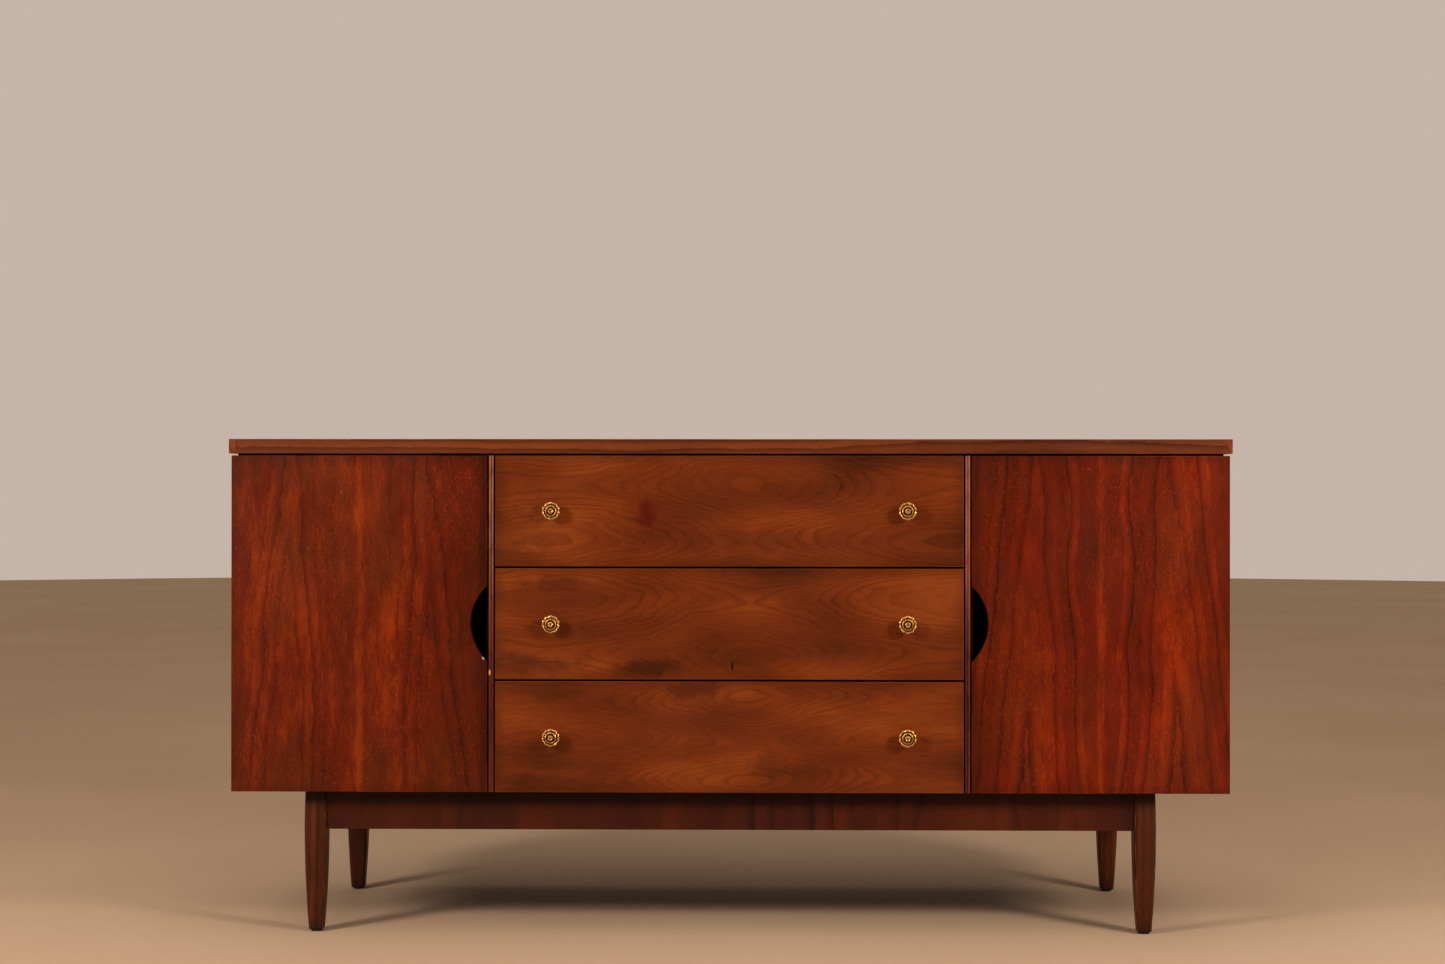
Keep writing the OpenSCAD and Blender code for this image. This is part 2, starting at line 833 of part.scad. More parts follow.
top_panel();
top_front_edging();
top_side_edgings();
reveal_spacer();
end_panel(true);  // left_end_panel
end_panel(false);  // right_end_panel
partition(true);  // left_partition
partition(false);  // right_partition
case_bottom();
front_top_rail();
rear_top_rail();
back_panel();
bead_strip(true);  // left_bead_strip
bead_strip(false);  // right_bead_strip
drawer_rails();
drawer_bearers();
drawer_guides();
shelf(true);  // left_shelf
shelf(false);  // right_shelf
shelf_pins();
long_apron(apron_front_y, apron_front_y + apron_t);  // front_apron
long_apron(apron_rear_y - apron_t, apron_rear_y);  // rear_apron
side_aprons();
corner_blocks();
leg(-leg_x, leg_y0);  // front_left_leg
leg(leg_x, leg_y0);  // front_right_leg
leg(-leg_x, leg_y1);  // rear_left_leg
leg(leg_x, leg_y1);  // rear_right_leg
foot_glides();
case_hinge_leaves();
hinge_pins();
door_catches();
back_panel_screws();
case_screws();
door(true);  // left_door
door_hinge_leaves(true);  // left_door_hinge_leaves
door_screws(true);  // left_door_screws
door_strike(true);  // left_door_strike
door(false);  // right_door
door_hinge_leaves(false);  // right_door_hinge_leaves
door_screws(false);  // right_door_screws
door_strike(false);  // right_door_strike
drawer_front(0);  // bottom_drawer_front
drawer_sides(0);  // bottom_drawer_sides
drawer_ends(0);  // bottom_drawer_ends
drawer_bottom(0);  // bottom_drawer_bottom
drawer_runners(0);  // bottom_drawer_runners
drawer_knobs(0);  // bottom_drawer_knobs
drawer_front(1);  // middle_drawer_front
drawer_sides(1);  // middle_drawer_sides
drawer_ends(1);  // middle_drawer_ends
drawer_bottom(1);  // middle_drawer_bottom
drawer_runners(1);  // middle_drawer_runners
drawer_knobs(1);  // middle_drawer_knobs
drawer_front(2);  // top_drawer_front
drawer_sides(2);  // top_drawer_sides
drawer_ends(2);  // top_drawer_ends
drawer_bottom(2);  // top_drawer_bottom
drawer_runners(2);  // top_drawer_runners
drawer_knobs(2);  // top_drawer_knobs
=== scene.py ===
"""Finishes, rosette knobs, shaped legs, fasteners and studio for a low walnut dresser.

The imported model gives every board, hinge and drawer its shape and place. This
script lacquers the veneers, ages the brass and turns the pieces that need a
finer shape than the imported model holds.
"""

import math

import bmesh
import bpy
from mathutils import Matrix, Vector


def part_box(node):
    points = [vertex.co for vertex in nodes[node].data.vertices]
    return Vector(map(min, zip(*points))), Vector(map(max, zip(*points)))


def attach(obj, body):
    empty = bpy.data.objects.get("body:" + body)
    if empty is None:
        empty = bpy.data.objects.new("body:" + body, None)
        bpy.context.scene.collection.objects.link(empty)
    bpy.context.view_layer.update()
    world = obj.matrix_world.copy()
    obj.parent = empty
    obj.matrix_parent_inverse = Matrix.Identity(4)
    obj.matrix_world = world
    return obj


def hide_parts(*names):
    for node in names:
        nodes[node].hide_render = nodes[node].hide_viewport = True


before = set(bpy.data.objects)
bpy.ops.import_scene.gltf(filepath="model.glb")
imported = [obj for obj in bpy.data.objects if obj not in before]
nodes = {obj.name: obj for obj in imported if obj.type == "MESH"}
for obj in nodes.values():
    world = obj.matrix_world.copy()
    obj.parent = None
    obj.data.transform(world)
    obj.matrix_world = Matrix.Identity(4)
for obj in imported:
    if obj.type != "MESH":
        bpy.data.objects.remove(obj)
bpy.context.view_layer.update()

MM = 0.001
ROWS = ("bottom", "middle", "top")
SIDES = ("left", "right")


# ---- Laying out shader nodes ----

class Bench:
    """Places nodes in one shader tree and joins them up."""

    def __init__(self, tree):
        self.tree = tree

    def add(self, kind, **settings):
        node = self.tree.nodes.new(kind)
        for name, value in settings.items():
            setattr(node, name, value)
        return node

    def feed(self, socket, value):
        if isinstance(value, bpy.types.NodeSocket):
            self.tree.links.new(value, socket)
        elif value is not None:
            socket.default_value = value

    def calc(self, operation, a, b=None, c=None, clamp=False):
        node = self.add("ShaderNodeMath", operation=operation, use_clamp=clamp)
        for socket, value in zip(node.inputs, (a, b, c)):
            self.feed(socket, value)
        return node.outputs[0]

    def total(self, *values):
        result = values[0]
        for value in values[1:]:
            result = self.calc("ADD", result, value)
        return result

    def scaled(self, value, factor, shift=0.0):
        return self.calc("MULTIPLY_ADD", value, factor, shift)

    def point(self, x, y, z):
        node = self.add("ShaderNodeCombineXYZ")
        for socket, value in zip(node.inputs, (x, y, z)):
            self.feed(socket, value)
        return node.outputs[0]

    def parts(self, vector):
        node = self.add("ShaderNodeSeparateXYZ")
        self.feed(node.inputs[0], vector)
        return node.outputs[0], node.outputs[1], node.outputs[2]

    def place(self):
        """The point on the piece, in the piece's own frame, in metres."""
        return self.add("ShaderNodeTexCoord").outputs["Object"]

    def noise(self, vector, scale=1.0, detail=2.0, roughness=0.5, distortion=0.0):
        node = self.add("ShaderNodeTexNoise")
        self.feed(node.inputs["Vector"], vector)
        self.feed(node.inputs["Scale"], scale)
        self.feed(node.inputs["Detail"], detail)
        self.feed(node.inputs["Roughness"], roughness)
        self.feed(node.inputs["Distortion"], distortion)
        return node.outputs[0]

    def remap(self, value, low, high, to_low=0.0, to_high=1.0, smooth=True):
        node = self.add("ShaderNodeMapRange", clamp=True)
        if smooth:
            node.interpolation_type = "SMOOTHSTEP"
        for socket, given in zip(node.inputs, (value, low, high, to_low, to_high)):
            self.feed(socket, given)
        return node.outputs[0]

    def mix(self, factor, a, b, blend="MIX"):
        node = self.add("ShaderNodeMix", data_type="RGBA", blend_type=blend)
        self.feed(node.inputs[0], factor)
        self.feed(node.inputs[6], a)
        self.feed(node.inputs[7], b)
        return node.outputs[2]

    def ramp(self, value, *stops):
        node = self.add("ShaderNodeValToRGB")
        self.feed(node.inputs[0], value)
        band = node.color_ramp
        for index, (where, colour) in enumerate(stops):
            step = band.elements[index] if index < 2 else band.elements.new(where)
            step.position = where
            step.color = colour
        return node.outputs[0]

    def group(self, tree, **values):
        node = self.add("ShaderNodeGroup", node_tree=tree)
        for name, value in values.items():
            self.feed(node.inputs[name.replace("_", " ")], value)
        return node


KINDS = {"value": "NodeSocketFloat", "vector": "NodeSocketVector", "colour": "NodeSocketColor"}


def effect(name, inputs, outputs, lay):
    """A shared effect: lay(bench, inputs) gives one socket for each output."""
    tree = bpy.data.node_groups.new(name, "ShaderNodeTree")
    for title, kind, default in inputs:
        socket = tree.interface.new_socket(name=title, in_out="INPUT", socket_type=KINDS[kind])
        socket.default_value = default
    for title, kind in outputs:
        tree.interface.new_socket(name=title, in_out="OUTPUT", socket_type=KINDS[kind])
    bench = Bench(tree)
    taken = bench.add("NodeGroupInput").outputs
    given = bench.add("NodeGroupOutput").inputs
    results = lay(bench, {title: taken[title] for title, _, _ in inputs})
    for (title, _), result in zip(outputs, results):
        bench.feed(given[title], result)
    return tree


def rgb(red, green, blue):
    """A colour from its usual 0 to 255 values, as linear light."""
    def linear(value):
        value /= 255
        return value / 12.92 if value <= 0.04045 else ((value + 0.055) / 1.055) ** 2.4
    return (linear(red), linear(green), linear(blue), 1.0)


# ---- Shared effects ----

def lay_timber(b, given):
    along, across, through = given["Along"], given["Across"], given["Through"]
    seed = given["Seed"]

    def stretched(long, wide, offset):
        return b.point(
            b.scaled(along, long, offset),
            b.calc("ADD", b.scaled(across, wide), seed),
            b.scaled(through, wide),
        )

    mottle = b.noise(stretched(8, 24, 0.0), detail=6, roughness=0.74)
    streak = b.noise(stretched(34, 620, 3.1), detail=3, roughness=0.6)
    dash = b.noise(stretched(120, 900, 5.9), detail=2, roughness=0.7)
    fibre = b.total(b.scaled(mottle, 0.56), b.scaled(streak, 0.18), b.scaled(dash, 0.26))
    cloud = b.noise(stretched(2.2, 7, 7.7), detail=2, roughness=0.5)

    turn = b.total(given["Field"], b.scaled(mottle, given["Waver"]), b.scaled(cloud, 1.0))
    within = b.calc("FRACT", turn)
    count = b.calc("FLOOR", turn)
    chance = b.noise(b.point(b.scaled(count, 7.31), seed, 0.37), scale=1.0, detail=0)
    strength = b.remap(chance, 0.48, 0.64, given["Evenness"], 1.0)
    rise = b.remap(within, 0.15, 0.95)
    fall = b.remap(within, 0.95, 1.0, 1.0, 0.0)
    ring = b.calc("MULTIPLY", b.calc("MULTIPLY", b.calc("POWER", rise, 3.0), fall), strength)
    band = b.calc("SUBTRACT", chance, 0.5)

    pores = b.remap(b.noise(stretched(90, 1400, 11.3), detail=1), 0.60, 0.74)
    flecks = b.remap(b.noise(stretched(140, 1500, 17.9), detail=1), 0.64, 0.78)
    return fibre, cloud, ring, band, pores, flecks


timber_grain = effect(
    "timber_grain",
    [("Along", "value", 0.0), ("Across", "value", 0.0), ("Through", "value", 0.0),
     ("Field", "value", 0.0), ("Waver", "value", 0.6), ("Evenness", "value", 0.08),
     ("Seed", "value", 0.0)],
    [("Fibre", "value"), ("Cloud", "value"), ("Ring", "value"), ("Band", "value"),
     ("Pores", "value"), ("Flecks", "value")],
    lay_timber,
)


def lay_edge(b, given):
    """How near a point is to an arris of a box: 1 on it, 0 a width away."""
    def gaps():
        here = b.parts(b.place())
        low, high = b.parts(given["Low"]), b.parts(given["High"])
        for axis in range(3):
            yield b.calc(
                "MINIMUM",
                b.calc("ABSOLUTE", b.calc("SUBTRACT", here[axis], low[axis])),
                b.calc("ABSOLUTE", b.calc("SUBTRACT", high[axis], here[axis])),
            )

    x, y, z = gaps()
    second = b.calc(
        "MAXIMUM", b.calc("MINIMUM", x, y),
        b.calc("MINIMUM", b.calc("MAXIMUM", x, y), z),
    )
    rub = b.noise(b.place(), scale=140, detail=3, roughness=0.65)
    patch = b.noise(b.place(), scale=9, detail=2)
    reach = b.calc(
        "MULTIPLY", given["Width"],
        b.scaled(b.calc("MULTIPLY", rub, b.remap(patch, 0.35, 0.65, 0.25, 1.0)), 2.0, 0.05),
    )
    wear = b.remap(b.calc("DIVIDE", second, reach), 0.55, 1.1, 1.0, 0.0)
    shade = b.remap(second, 0.0, b.scaled(given["Width"], 26.0), 1.0, 0.0)
    return b.calc("MULTIPLY", wear, given["Amount"], clamp=True), shade


edge_wear = effect(
    "edge_wear",
    [("Low", "vector", (0, 0, 0)), ("High", "vector", (1, 1, 1)),
     ("Width", "value", 0.0008), ("Amount", "value", 1.0)],
    [("Wear", "value"), ("Shade", "value")],
    lay_edge,
)


def lay_lacquer(b, given):
    place = b.place()
    smear = b.noise(place, scale=given["Smear"], detail=4, roughness=0.62)
    ripple = b.noise(place, scale=420, detail=2)
    cell = b.add("ShaderNodeTexVoronoi", feature="DISTANCE_TO_EDGE")
    x, y, z = b.parts(place)
    b.feed(cell.inputs["Vector"], b.point(x, y, b.scaled(z, 0.21)))
    b.feed(cell.inputs["Scale"], 46.0)
    broken = b.remap(b.noise(place, scale=17, detail=1), 0.60, 0.70)
    scratch = b.calc("MULTIPLY", b.remap(cell.outputs[0], 0.0, 0.012, 1.0, 0.0), broken)
    rough = b.total(
        given["Base"], b.scaled(b.calc("SUBTRACT", smear, 0.5), 0.34),
        b.scaled(scratch, 0.12),
    )
    return rough, ripple, scratch


lacquer_film = effect(
    "lacquer_film",
    [("Base", "value", 0.35), ("Smear", "value", 6.0)],
    [("Roughness", "value"), ("Ripple", "value"), ("Scratch", "value")],
    lay_lacquer,
)


def lay_dust(b, given):
    normal = b.add("ShaderNodeNewGeometry").outputs["Normal"]
    up = b.remap(b.parts(normal)[2], 0.6, 1.0)
    drift = b.noise(b.place(), scale=14, detail=4, roughness=0.7)
    specks = b.remap(b.noise(b.place(), scale=900, detail=1), 0.66, 0.74)
    film = b.calc("MULTIPLY", up, b.remap(drift, 0.3, 0.8))
    return (b.calc("MULTIPLY", b.calc("ADD", b.scaled(film, 0.5), b.calc("MULTIPLY", up, specks)),
                   given["Amount"], clamp=True),)


settled_dust = effect(
    "settled_dust", [("Amount", "value", 0.2)], [("Dust", "value")], lay_dust,
)


def lay_chip(b, given):
    """A ragged spot of a given size at a given place."""
    here, centre, size = b.parts(b.place()), b.parts(given["Centre"]), b.parts(given["Size"])
    ragged = b.noise(b.place(), scale=600, detail=2)
    squares = [
        b.calc("POWER", b.calc("ABSOLUTE", b.calc("DIVIDE", b.calc("SUBTRACT", h, c), s)), 2.0)
        for h, c, s in zip(here, centre, size)
    ]
    reach = b.calc("SQRT", b.total(*squares))
    return (b.remap(b.total(reach, b.scaled(ragged, 0.8, -0.4)), 0.8, 1.0, 1.0, 0.0),)


chip = effect(
    "chip",
    [("Centre", "vector", (0, 0, 0)), ("Size", "vector", (0.001, 0.001, 0.001))],
    [("Chip", "value")],
    lay_chip,
)


def lay_tarnish(b, given):
    hollow = b.add("ShaderNodeAmbientOcclusion", samples=6)
    b.feed(hollow.inputs["Distance"], given["Reach"])
    deep = b.remap(hollow.outputs["AO"], 0.35, 0.9, 1.0, 0.0)
    blotch = b.remap(b.noise(b.place(), scale=260, detail=4, roughness=0.65), 0.42, 0.68)
    speck = b.remap(b.noise(b.place(), scale=1900, detail=2), 0.58, 0.7)
    patina = b.calc("MAXIMUM", deep, b.scaled(blotch, 0.45), clamp=True)
    patina = b.calc("MAXIMUM", patina, b.scaled(speck, 0.35))
    return b.calc("MULTIPLY", patina, given["Amount"], clamp=True), blotch


tarnish = effect(
    "tarnish",
    [("Reach", "value", 0.002), ("Amount", "value", 1.0)],
    [("Patina", "value"), ("Blotch", "value")],
    lay_tarnish,
)


# ---- Finishes ----

def finish(name):
    """A new material with its bench and its one Principled shader."""
    material = bpy.data.materials.new(name)
    material.use_nodes = True
    shader = next(n for n in material.node_tree.nodes if n.type == "BSDF_PRINCIPLED")
    return material, Bench(material.node_tree), shader


def bump(b, shader, height, strength, distance):
    node = b.add("ShaderNodeBump")
    b.feed(node.inputs["Strength"], strength)
    b.feed(node.inputs["Distance"], distance)
    b.feed(node.inputs["Height"], height)
    b.feed(shader.inputs["Normal"], node.outputs[0])


def straight(ring_gap):
    """Rings in even lines across the board."""
    def field(b, along, across, through):
        bend = b.noise(b.point(b.scaled(along, 1.6), b.scaled(across, 5), 0.0), detail=2)
        return b.total(
            b.scaled(across, 1 / ring_gap), b.scaled(through, 0.6 / ring_gap),
            b.scaled(bend, 3.2),
        ), None
    return field


def timber(name, grain, dark, mid, light, field, seed, rough=0.42, coat=0.2, box=None,
           chips=(), waver=1.0, ring_depth=0.4, band_depth=0.5, fibre_depth=1.0,
           cloud_depth=0.8, evenness=0.08, dust=0.0, wear=0.5, shade=0.25, fleck_tone=None,
           second=None, colour_layer=None, pore_depth=0.35):
    """Lacquered wood. grain is the axis that the fibres run along; field lays the rings."""
    material, b, shader = finish(name)
    here = b.parts(b.place())
    order = {"X": (0, 2, 1), "Y": (1, 0, 2), "Z": (2, 0, 1)}[grain]
    along, across, through = (here[i] for i in order)
    rings, tone = field(b, along, across, through)
    wood = b.group(timber_grain, Along=along, Across=across, Through=through, Field=rings,
                   Waver=waver, Evenness=evenness, Seed=seed)
    fibre, cloud, ring, band, pores, flecks = wood.outputs
    level = b.total(
        b.scaled(b.calc("SUBTRACT", fibre, 0.5), fibre_depth, 0.5),
        b.scaled(b.calc("SUBTRACT", cloud, 0.5), cloud_depth),
        b.scaled(band, band_depth),
        b.scaled(ring, -ring_depth),
    )
    if tone is not None:
        level = b.calc("ADD", level, tone)
    colour = b.ramp(level, (0.0, dark), (1.0, light), (0.5, mid))
    if second:
        turn = b.noise(b.point(b.scaled(along, 5), b.scaled(across, 13), seed + 4.4), detail=4)
        colour = b.mix(b.remap(turn, 0.42, 0.62, 0.0, 0.75), colour,
                       b.mix(level, dark, second))
    colour = b.mix(b.scaled(pores, pore_depth), colour, dark)
    if fleck_tone:
        crowd = b.noise(b.point(b.scaled(along, 6), b.scaled(across, 11), seed + 9.1), detail=2)
        colour = b.mix(b.calc("MULTIPLY", flecks, b.remap(crowd, 0.4, 0.6, 0.1, 0.6)), colour,
                       fleck_tone)
    film = b.group(lacquer_film, Base=rough)
    # On some pieces the colour layer is a real stain; on the aprons, legs and bead strips it is
    # painted shade and highlight.
    if colour_layer:
        colour = colour_layer(b, colour)
    if box:
        edge = b.group(edge_wear, Low=box[0], High=box[1], Amount=wear)
        colour = b.mix(b.scaled(edge.outputs["Shade"], shade), colour, dark)
        colour = b.mix(edge.outputs["Wear"], colour, light)
    for centre, size, tint in chips:
        spot = b.group(chip, Centre=centre, Size=size).outputs[0]
        colour = b.mix(spot, colour, tint)
    colour = b.mix(b.scaled(film.outputs["Scratch"], 0.05), colour, light)
    if dust:
        settled = b.group(settled_dust, Amount=dust).outputs[0]
        colour = b.mix(settled, colour, rgb(176, 164, 150))
    b.feed(shader.inputs["Base Color"], colour)
    b.feed(shader.inputs["Roughness"], b.calc("ADD", film.outputs["Roughness"],
                                              b.scaled(pores, 0.12), clamp=True))
    shader.inputs["Coat Weight"].default_value = coat
    shader.inputs["Coat Roughness"].default_value = 0.16
    shader.inputs["Specular IOR Level"].default_value = 0.2
    height = b.total(b.scaled(film.outputs["Ripple"], 0.22), b.scaled(fibre, 0.3),
                     b.scaled(pores, -0.6), b.scaled(film.outputs["Scratch"], -0.15))
    bump(b, shader, height, 0.35, 0.00022)
    return material


def door_figure(door, phase):
    """Two leaves of flat-cut veneer, opened like a book at the door's middle."""
    low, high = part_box(door)
    leaf, joint = (high.x - low.x) / 2, (high.x + low.x) / 2

    def field(b, along, across, through):
        side = b.calc("SUBTRACT", across, joint)
        out = b.scaled(b.calc("ABSOLUTE", side), 1 / leaf)
        down = b.scaled(b.calc("SUBTRACT", high.z, along), 1 / (high.z - low.z))
        sway = b.noise(b.point(b.scaled(down, 2.1), b.scaled(side, 2.2), phase), detail=1)
        ragged = b.noise(b.point(b.scaled(down, 9), b.scaled(side, 34), phase), detail=4,
                         roughness=0.6)
        heart = b.total(b.scaled(down, 0.09, 0.50), b.scaled(sway, 0.24, -0.12),
                        b.scaled(ragged, 0.05, -0.025))
        off = b.calc("ABSOLUTE", b.calc("SUBTRACT", out, heart))
        arch = b.calc("POWER", b.scaled(off, 1 / 0.235), 1.25)
        rings = b.scaled(b.calc("SUBTRACT", down, arch), 2.2, 0.66 - 0.5 * DOOR_WAVER + 4.0)
        # Sapwood shows as a paler stripe at the joint and down the outer edges
        streak = b.remap(b.total(out, b.scaled(ragged, 0.08, -0.04)), 0.0, 0.05, 0.22, 0.0)
        calm = b.remap(rings, 4.0, 4.4, 0.0, 0.05)
        return rings, b.calc("ADD", streak, calm)
    return field


def drawer_figure(front, centres, period, phase):
    """Burl-like ovals of crown-cut veneer with cathedrals running in from both ends."""
    low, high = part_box(front)
    width, height = high.x - low.x, high.z - low.z
    centre_x = low.x + 0.54 * width
    centre_z = high.z - centres * height

    def field(b, along, across, through):
        bend_x = b.noise(b.point(b.scaled(along, 9), b.scaled(across, 22), phase), detail=3)
        bend_z = b.noise(b.point(b.scaled(along, 7), b.scaled(across, 26), phase + 5.3), detail=3)
        x = b.total(along, -centre_x, b.scaled(bend_x, 0.07, -0.035))
        z = b.total(across, -centre_z, b.scaled(bend_z, 0.034, -0.017))
        turn_x = b.calc("POWER", b.scaled(b.calc("ABSOLUTE", x), 1 / 0.31), 0.8)
        wave_x = b.calc("COSINE", b.scaled(turn_x, math.pi))
        wave_z = b.calc("COSINE", b.scaled(z, 2 * math.pi / period))
        both = b.calc("ADD", wave_x, wave_z)
        rings = b.scaled(both, 4.2, phase)
        valley = b.remap(both, -1.9, -0.2, 0.10, 0.0)
        blotch = b.noise(b.point(b.scaled(along, 5), b.scaled(across, 13), phase), detail=1)
        return rings, b.total(valley, b.scaled(blotch, 0.95, -0.5))
    return field


WALNUT_DARK = rgb(46, 15, 5)
DOOR_WAVER = 1.2
NO_COLOUR = rgb(6, 5, 4)


def smudge(centre, size, tint, amount):
    """A soft cloud of darker colour under the lacquer."""
    def colour_layer(b, colour):
        here = b.parts(b.place())
        cloud = b.noise(b.place(), scale=30, detail=5, roughness=0.65)
        squares = [
            b.calc("POWER", b.scaled(b.calc("SUBTRACT", here[axis], c), 1 / s), 2.0)
            for axis, c, s in zip((0, 2), centre, size)
        ]
        reach = b.calc("SQRT", b.total(*squares))
        mask = b.remap(b.total(reach, b.scaled(cloud, 2.6, -1.3)), 0.3, 1.25, amount, 0.0)
        return b.mix(mask, colour, tint)
    return colour_layer


def several(*stains):
    """One stain laid over another."""
    def colour_layer(b, colour):
        for each in stains:
            colour = each(b, colour)
        return colour
    return colour_layer


def beside_bead(edge_x, amount):
    """The darker line that builds up where hands and polish miss, beside a bead."""
    def colour_layer(b, colour):
        x = b.parts(b.place())[0]
        gap = b.calc("ABSOLUTE", b.calc("SUBTRACT", x, edge_x))
        return b.mix(b.remap(gap, 0.0, 0.022, amount, 0.0), colour, WALNUT_DARK)
    return colour_layer


def dress(material, *names):
    """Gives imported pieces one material."""
    for name in names:
        slots = nodes[name].data.materials
        slots.clear()
        slots.append(material)


door_finish = dict(waver=DOOR_WAVER, band_depth=0.24, cloud_depth=0.6,
                   rough=0.40, coat=0.05)
door_low, door_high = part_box("left_door")
PULL_CHIP = ((door_high.x - 0.005, door_low.y, 0.4235), (0.0036, 0.003, 0.0030),
             rgb(190, 150, 128))
dress(
    timber("left_door_veneer", "Z", field=door_figure("left_door", 2.3), seed=4.0,
           box=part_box("left_door"), fleck_tone=rgb(206, 112, 50),
           colour_layer=beside_bead(door_high.x, 0.5), fibre_depth=1.9, dark=rgb(46, 15, 3),
           mid=rgb(98, 31, 5), light=rgb(158, 66, 13), second=rgb(116, 50, 13),
           ring_depth=0.2, chips=(PULL_CHIP,), **door_finish),
    "left_door",
)
door_low, door_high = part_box("right_door")
dress(
    timber("right_door_veneer", "Z", field=door_figure("right_door", 7.9), seed=9.0,
           box=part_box("right_door"), fleck_tone=rgb(206, 106, 44),
           colour_layer=beside_bead(door_low.x, 0.5), fibre_depth=1.7, dark=rgb(50, 14, 2),
           mid=rgb(110, 31, 3), light=rgb(170, 66, 8), second=rgb(126, 48, 8),
           ring_depth=0.34, **door_finish),
    "right_door",
)

drawer_tones = dict(dark=rgb(52, 21, 6), mid=rgb(114, 53, 17), light=rgb(156, 84, 32))
drawer_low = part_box("middle_drawer_front")[0]
NICK = ((0.005, drawer_low.y, drawer_low.z + 0.021), (0.0016, 0.003, 0.0080), NO_COLOUR)
drawer_plans = {
    "top": dict(
        centres=0.27, period=0.166, phase=0.3, chips=(),
        colour_layer=several(
            smudge((-0.125, 0.645), (0.020, 0.030), rgb(84, 20, 8), 0.85),
            smudge((-0.02, 0.60), (0.16, 0.022), rgb(70, 28, 11), 0.35),
            smudge((-0.34, 0.61), (0.07, 0.07), rgb(70, 28, 11), 0.4),
        ),
    ),
    "middle": dict(
        centres=0.78, period=0.166, phase=3.4, chips=(NICK,),
        colour_layer=several(
            smudge((-0.12, 0.408), (0.055, 0.014), rgb(44, 18, 7), 0.6),
            smudge((-0.30, 0.415), (0.07, 0.02), rgb(60, 24, 10), 0.5),
            smudge((-0.28, 0.535), (0.05, 0.014), rgb(60, 24, 10), 0.4),
        ),
    ),
    "bottom": dict(
        centres=0.15, period=0.123, phase=6.2, chips=(),
        colour_layer=several(
            smudge((-0.045, 0.375), (0.045, 0.016), rgb(52, 20, 8), 0.5),
            smudge((-0.29, 0.232), (0.05, 0.02), rgb(60, 24, 10), 0.45),
            smudge((0.06, 0.26), (0.03, 0.02), rgb(58, 24, 9), 0.35),
        ),
    ),
}
for row in ROWS:
    plan = drawer_plans[row]
    front = row + "_drawer_front"
    dress(
        timber(row + "_drawer_veneer", "X",
               field=drawer_figure(front, plan["centres"], plan["period"], plan["phase"]),
               seed=plan["phase"] * 3, box=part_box(front), chips=plan["chips"],
               colour_layer=plan["colour_layer"], ring_depth=0.15, band_depth=0.16, fibre_depth=0.75,
               cloud_depth=0.45, evenness=0.4, waver=0.5, rough=0.40, coat=0.05, pore_depth=0.2,
               **drawer_tones),
        front,
    )

slab_tones = dict(dark=rgb(58, 24, 10), mid=rgb(112, 56, 26), light=rgb(150, 86, 44))
dress(
    timber("slab_veneer", "X", field=straight(0.03), seed=2.0, rough=0.56, coat=0.0,
           dust=0.25, **slab_tones),
    "top_panel",
)
dress(
    timber("slab_edging", "X", field=straight(0.016), seed=13.0, rough=0.42, coat=0.2,
           box=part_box("top_front_edging"), wear=0.8, shade=0.3, **slab_tones),
    "top_front_edging",
)
dress(
    timber("slab_side_edging", "Y", field=straight(0.016), seed=17.0, rough=0.42, coat=0.2,
           **slab_tones),
    "top_side_edgings",
)
end_tones = dict(dark=rgb(52, 20, 9), mid=rgb(104, 44, 20), light=rgb(138, 70, 34))


def end_figure(b, along, across, through):
    """Rings in slow waves up the end panel, whose face is seen from the side."""
    sway = b.noise(b.point(b.scaled(through, 9), b.scaled(along, 2.4), 0.0), detail=2)
    return b.total(b.scaled(through, 24), b.scaled(sway, 4.0)), None


for side, seed in zip(SIDES, (21.0, 27.0)):
    name = side + "_end_panel"
    dress(
        timber(side + "_end_veneer", "Z", seed=seed, field=end_figure, box=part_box(name),
               rough=0.4, coat=0.25, **end_tones),
        name,
    )

bead_tones = dict(dark=rgb(40, 11, 6), mid=rgb(82, 30, 16), light=rgb(128, 58, 34))
bead_low, bead_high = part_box("left_bead_strip")
BEAD_CHIP = ((bead_low.x + 0.0015, bead_low.y, 0.401), (0.0022, 0.003, 0.0042),
             rgb(214, 140, 84))


def painted_bead_glint_and_groove_shade(b, colour):
    """Painted highlight: paler along the two reeds, most at the top, where the lamps' glints
    fall; and painted shade in the groove.
    """
    x, y, z = b.parts(b.place())
    crest = b.remap(b.calc("SUBTRACT", y, bead_low.y), 0.0002, 0.0011, 1.0, 0.0)
    painted_groove_shade = b.remap(b.calc("SUBTRACT", y, bead_low.y), 0.0014, 0.0024)
    rise = b.remap(z, bead_low.z + 0.16, bead_high.z - 0.04, 0.05, 0.42)
    patchy = b.remap(b.noise(b.point(x, y, b.scaled(z, 0.3)), scale=120, detail=3), 0.3, 0.6,
                     0.55, 1.0)
    # Painted highlight: paler along the crests, strongest at the top, standing in for the lamps'
    # glints.
    worn = b.calc("MULTIPLY", b.calc("MULTIPLY", crest, rise), patchy)
    # Painted shade: darker in the groove between the two reeds.
    colour = b.mix(b.scaled(painted_groove_shade, 0.85), colour, rgb(24, 6, 4))
    return b.mix(worn, colour, rgb(206, 146, 108))


dress(
    timber("bead_walnut", "Z", field=straight(0.02), seed=31.0, rough=0.3, coat=0.35,
           chips=(BEAD_CHIP,), colour_layer=painted_bead_glint_and_groove_shade, **bead_tones),
    "left_bead_strip", "right_bead_strip",
)

leg_tones = dict(dark=rgb(34, 13, 5), mid=rgb(74, 34, 12), light=rgb(120, 62, 25))


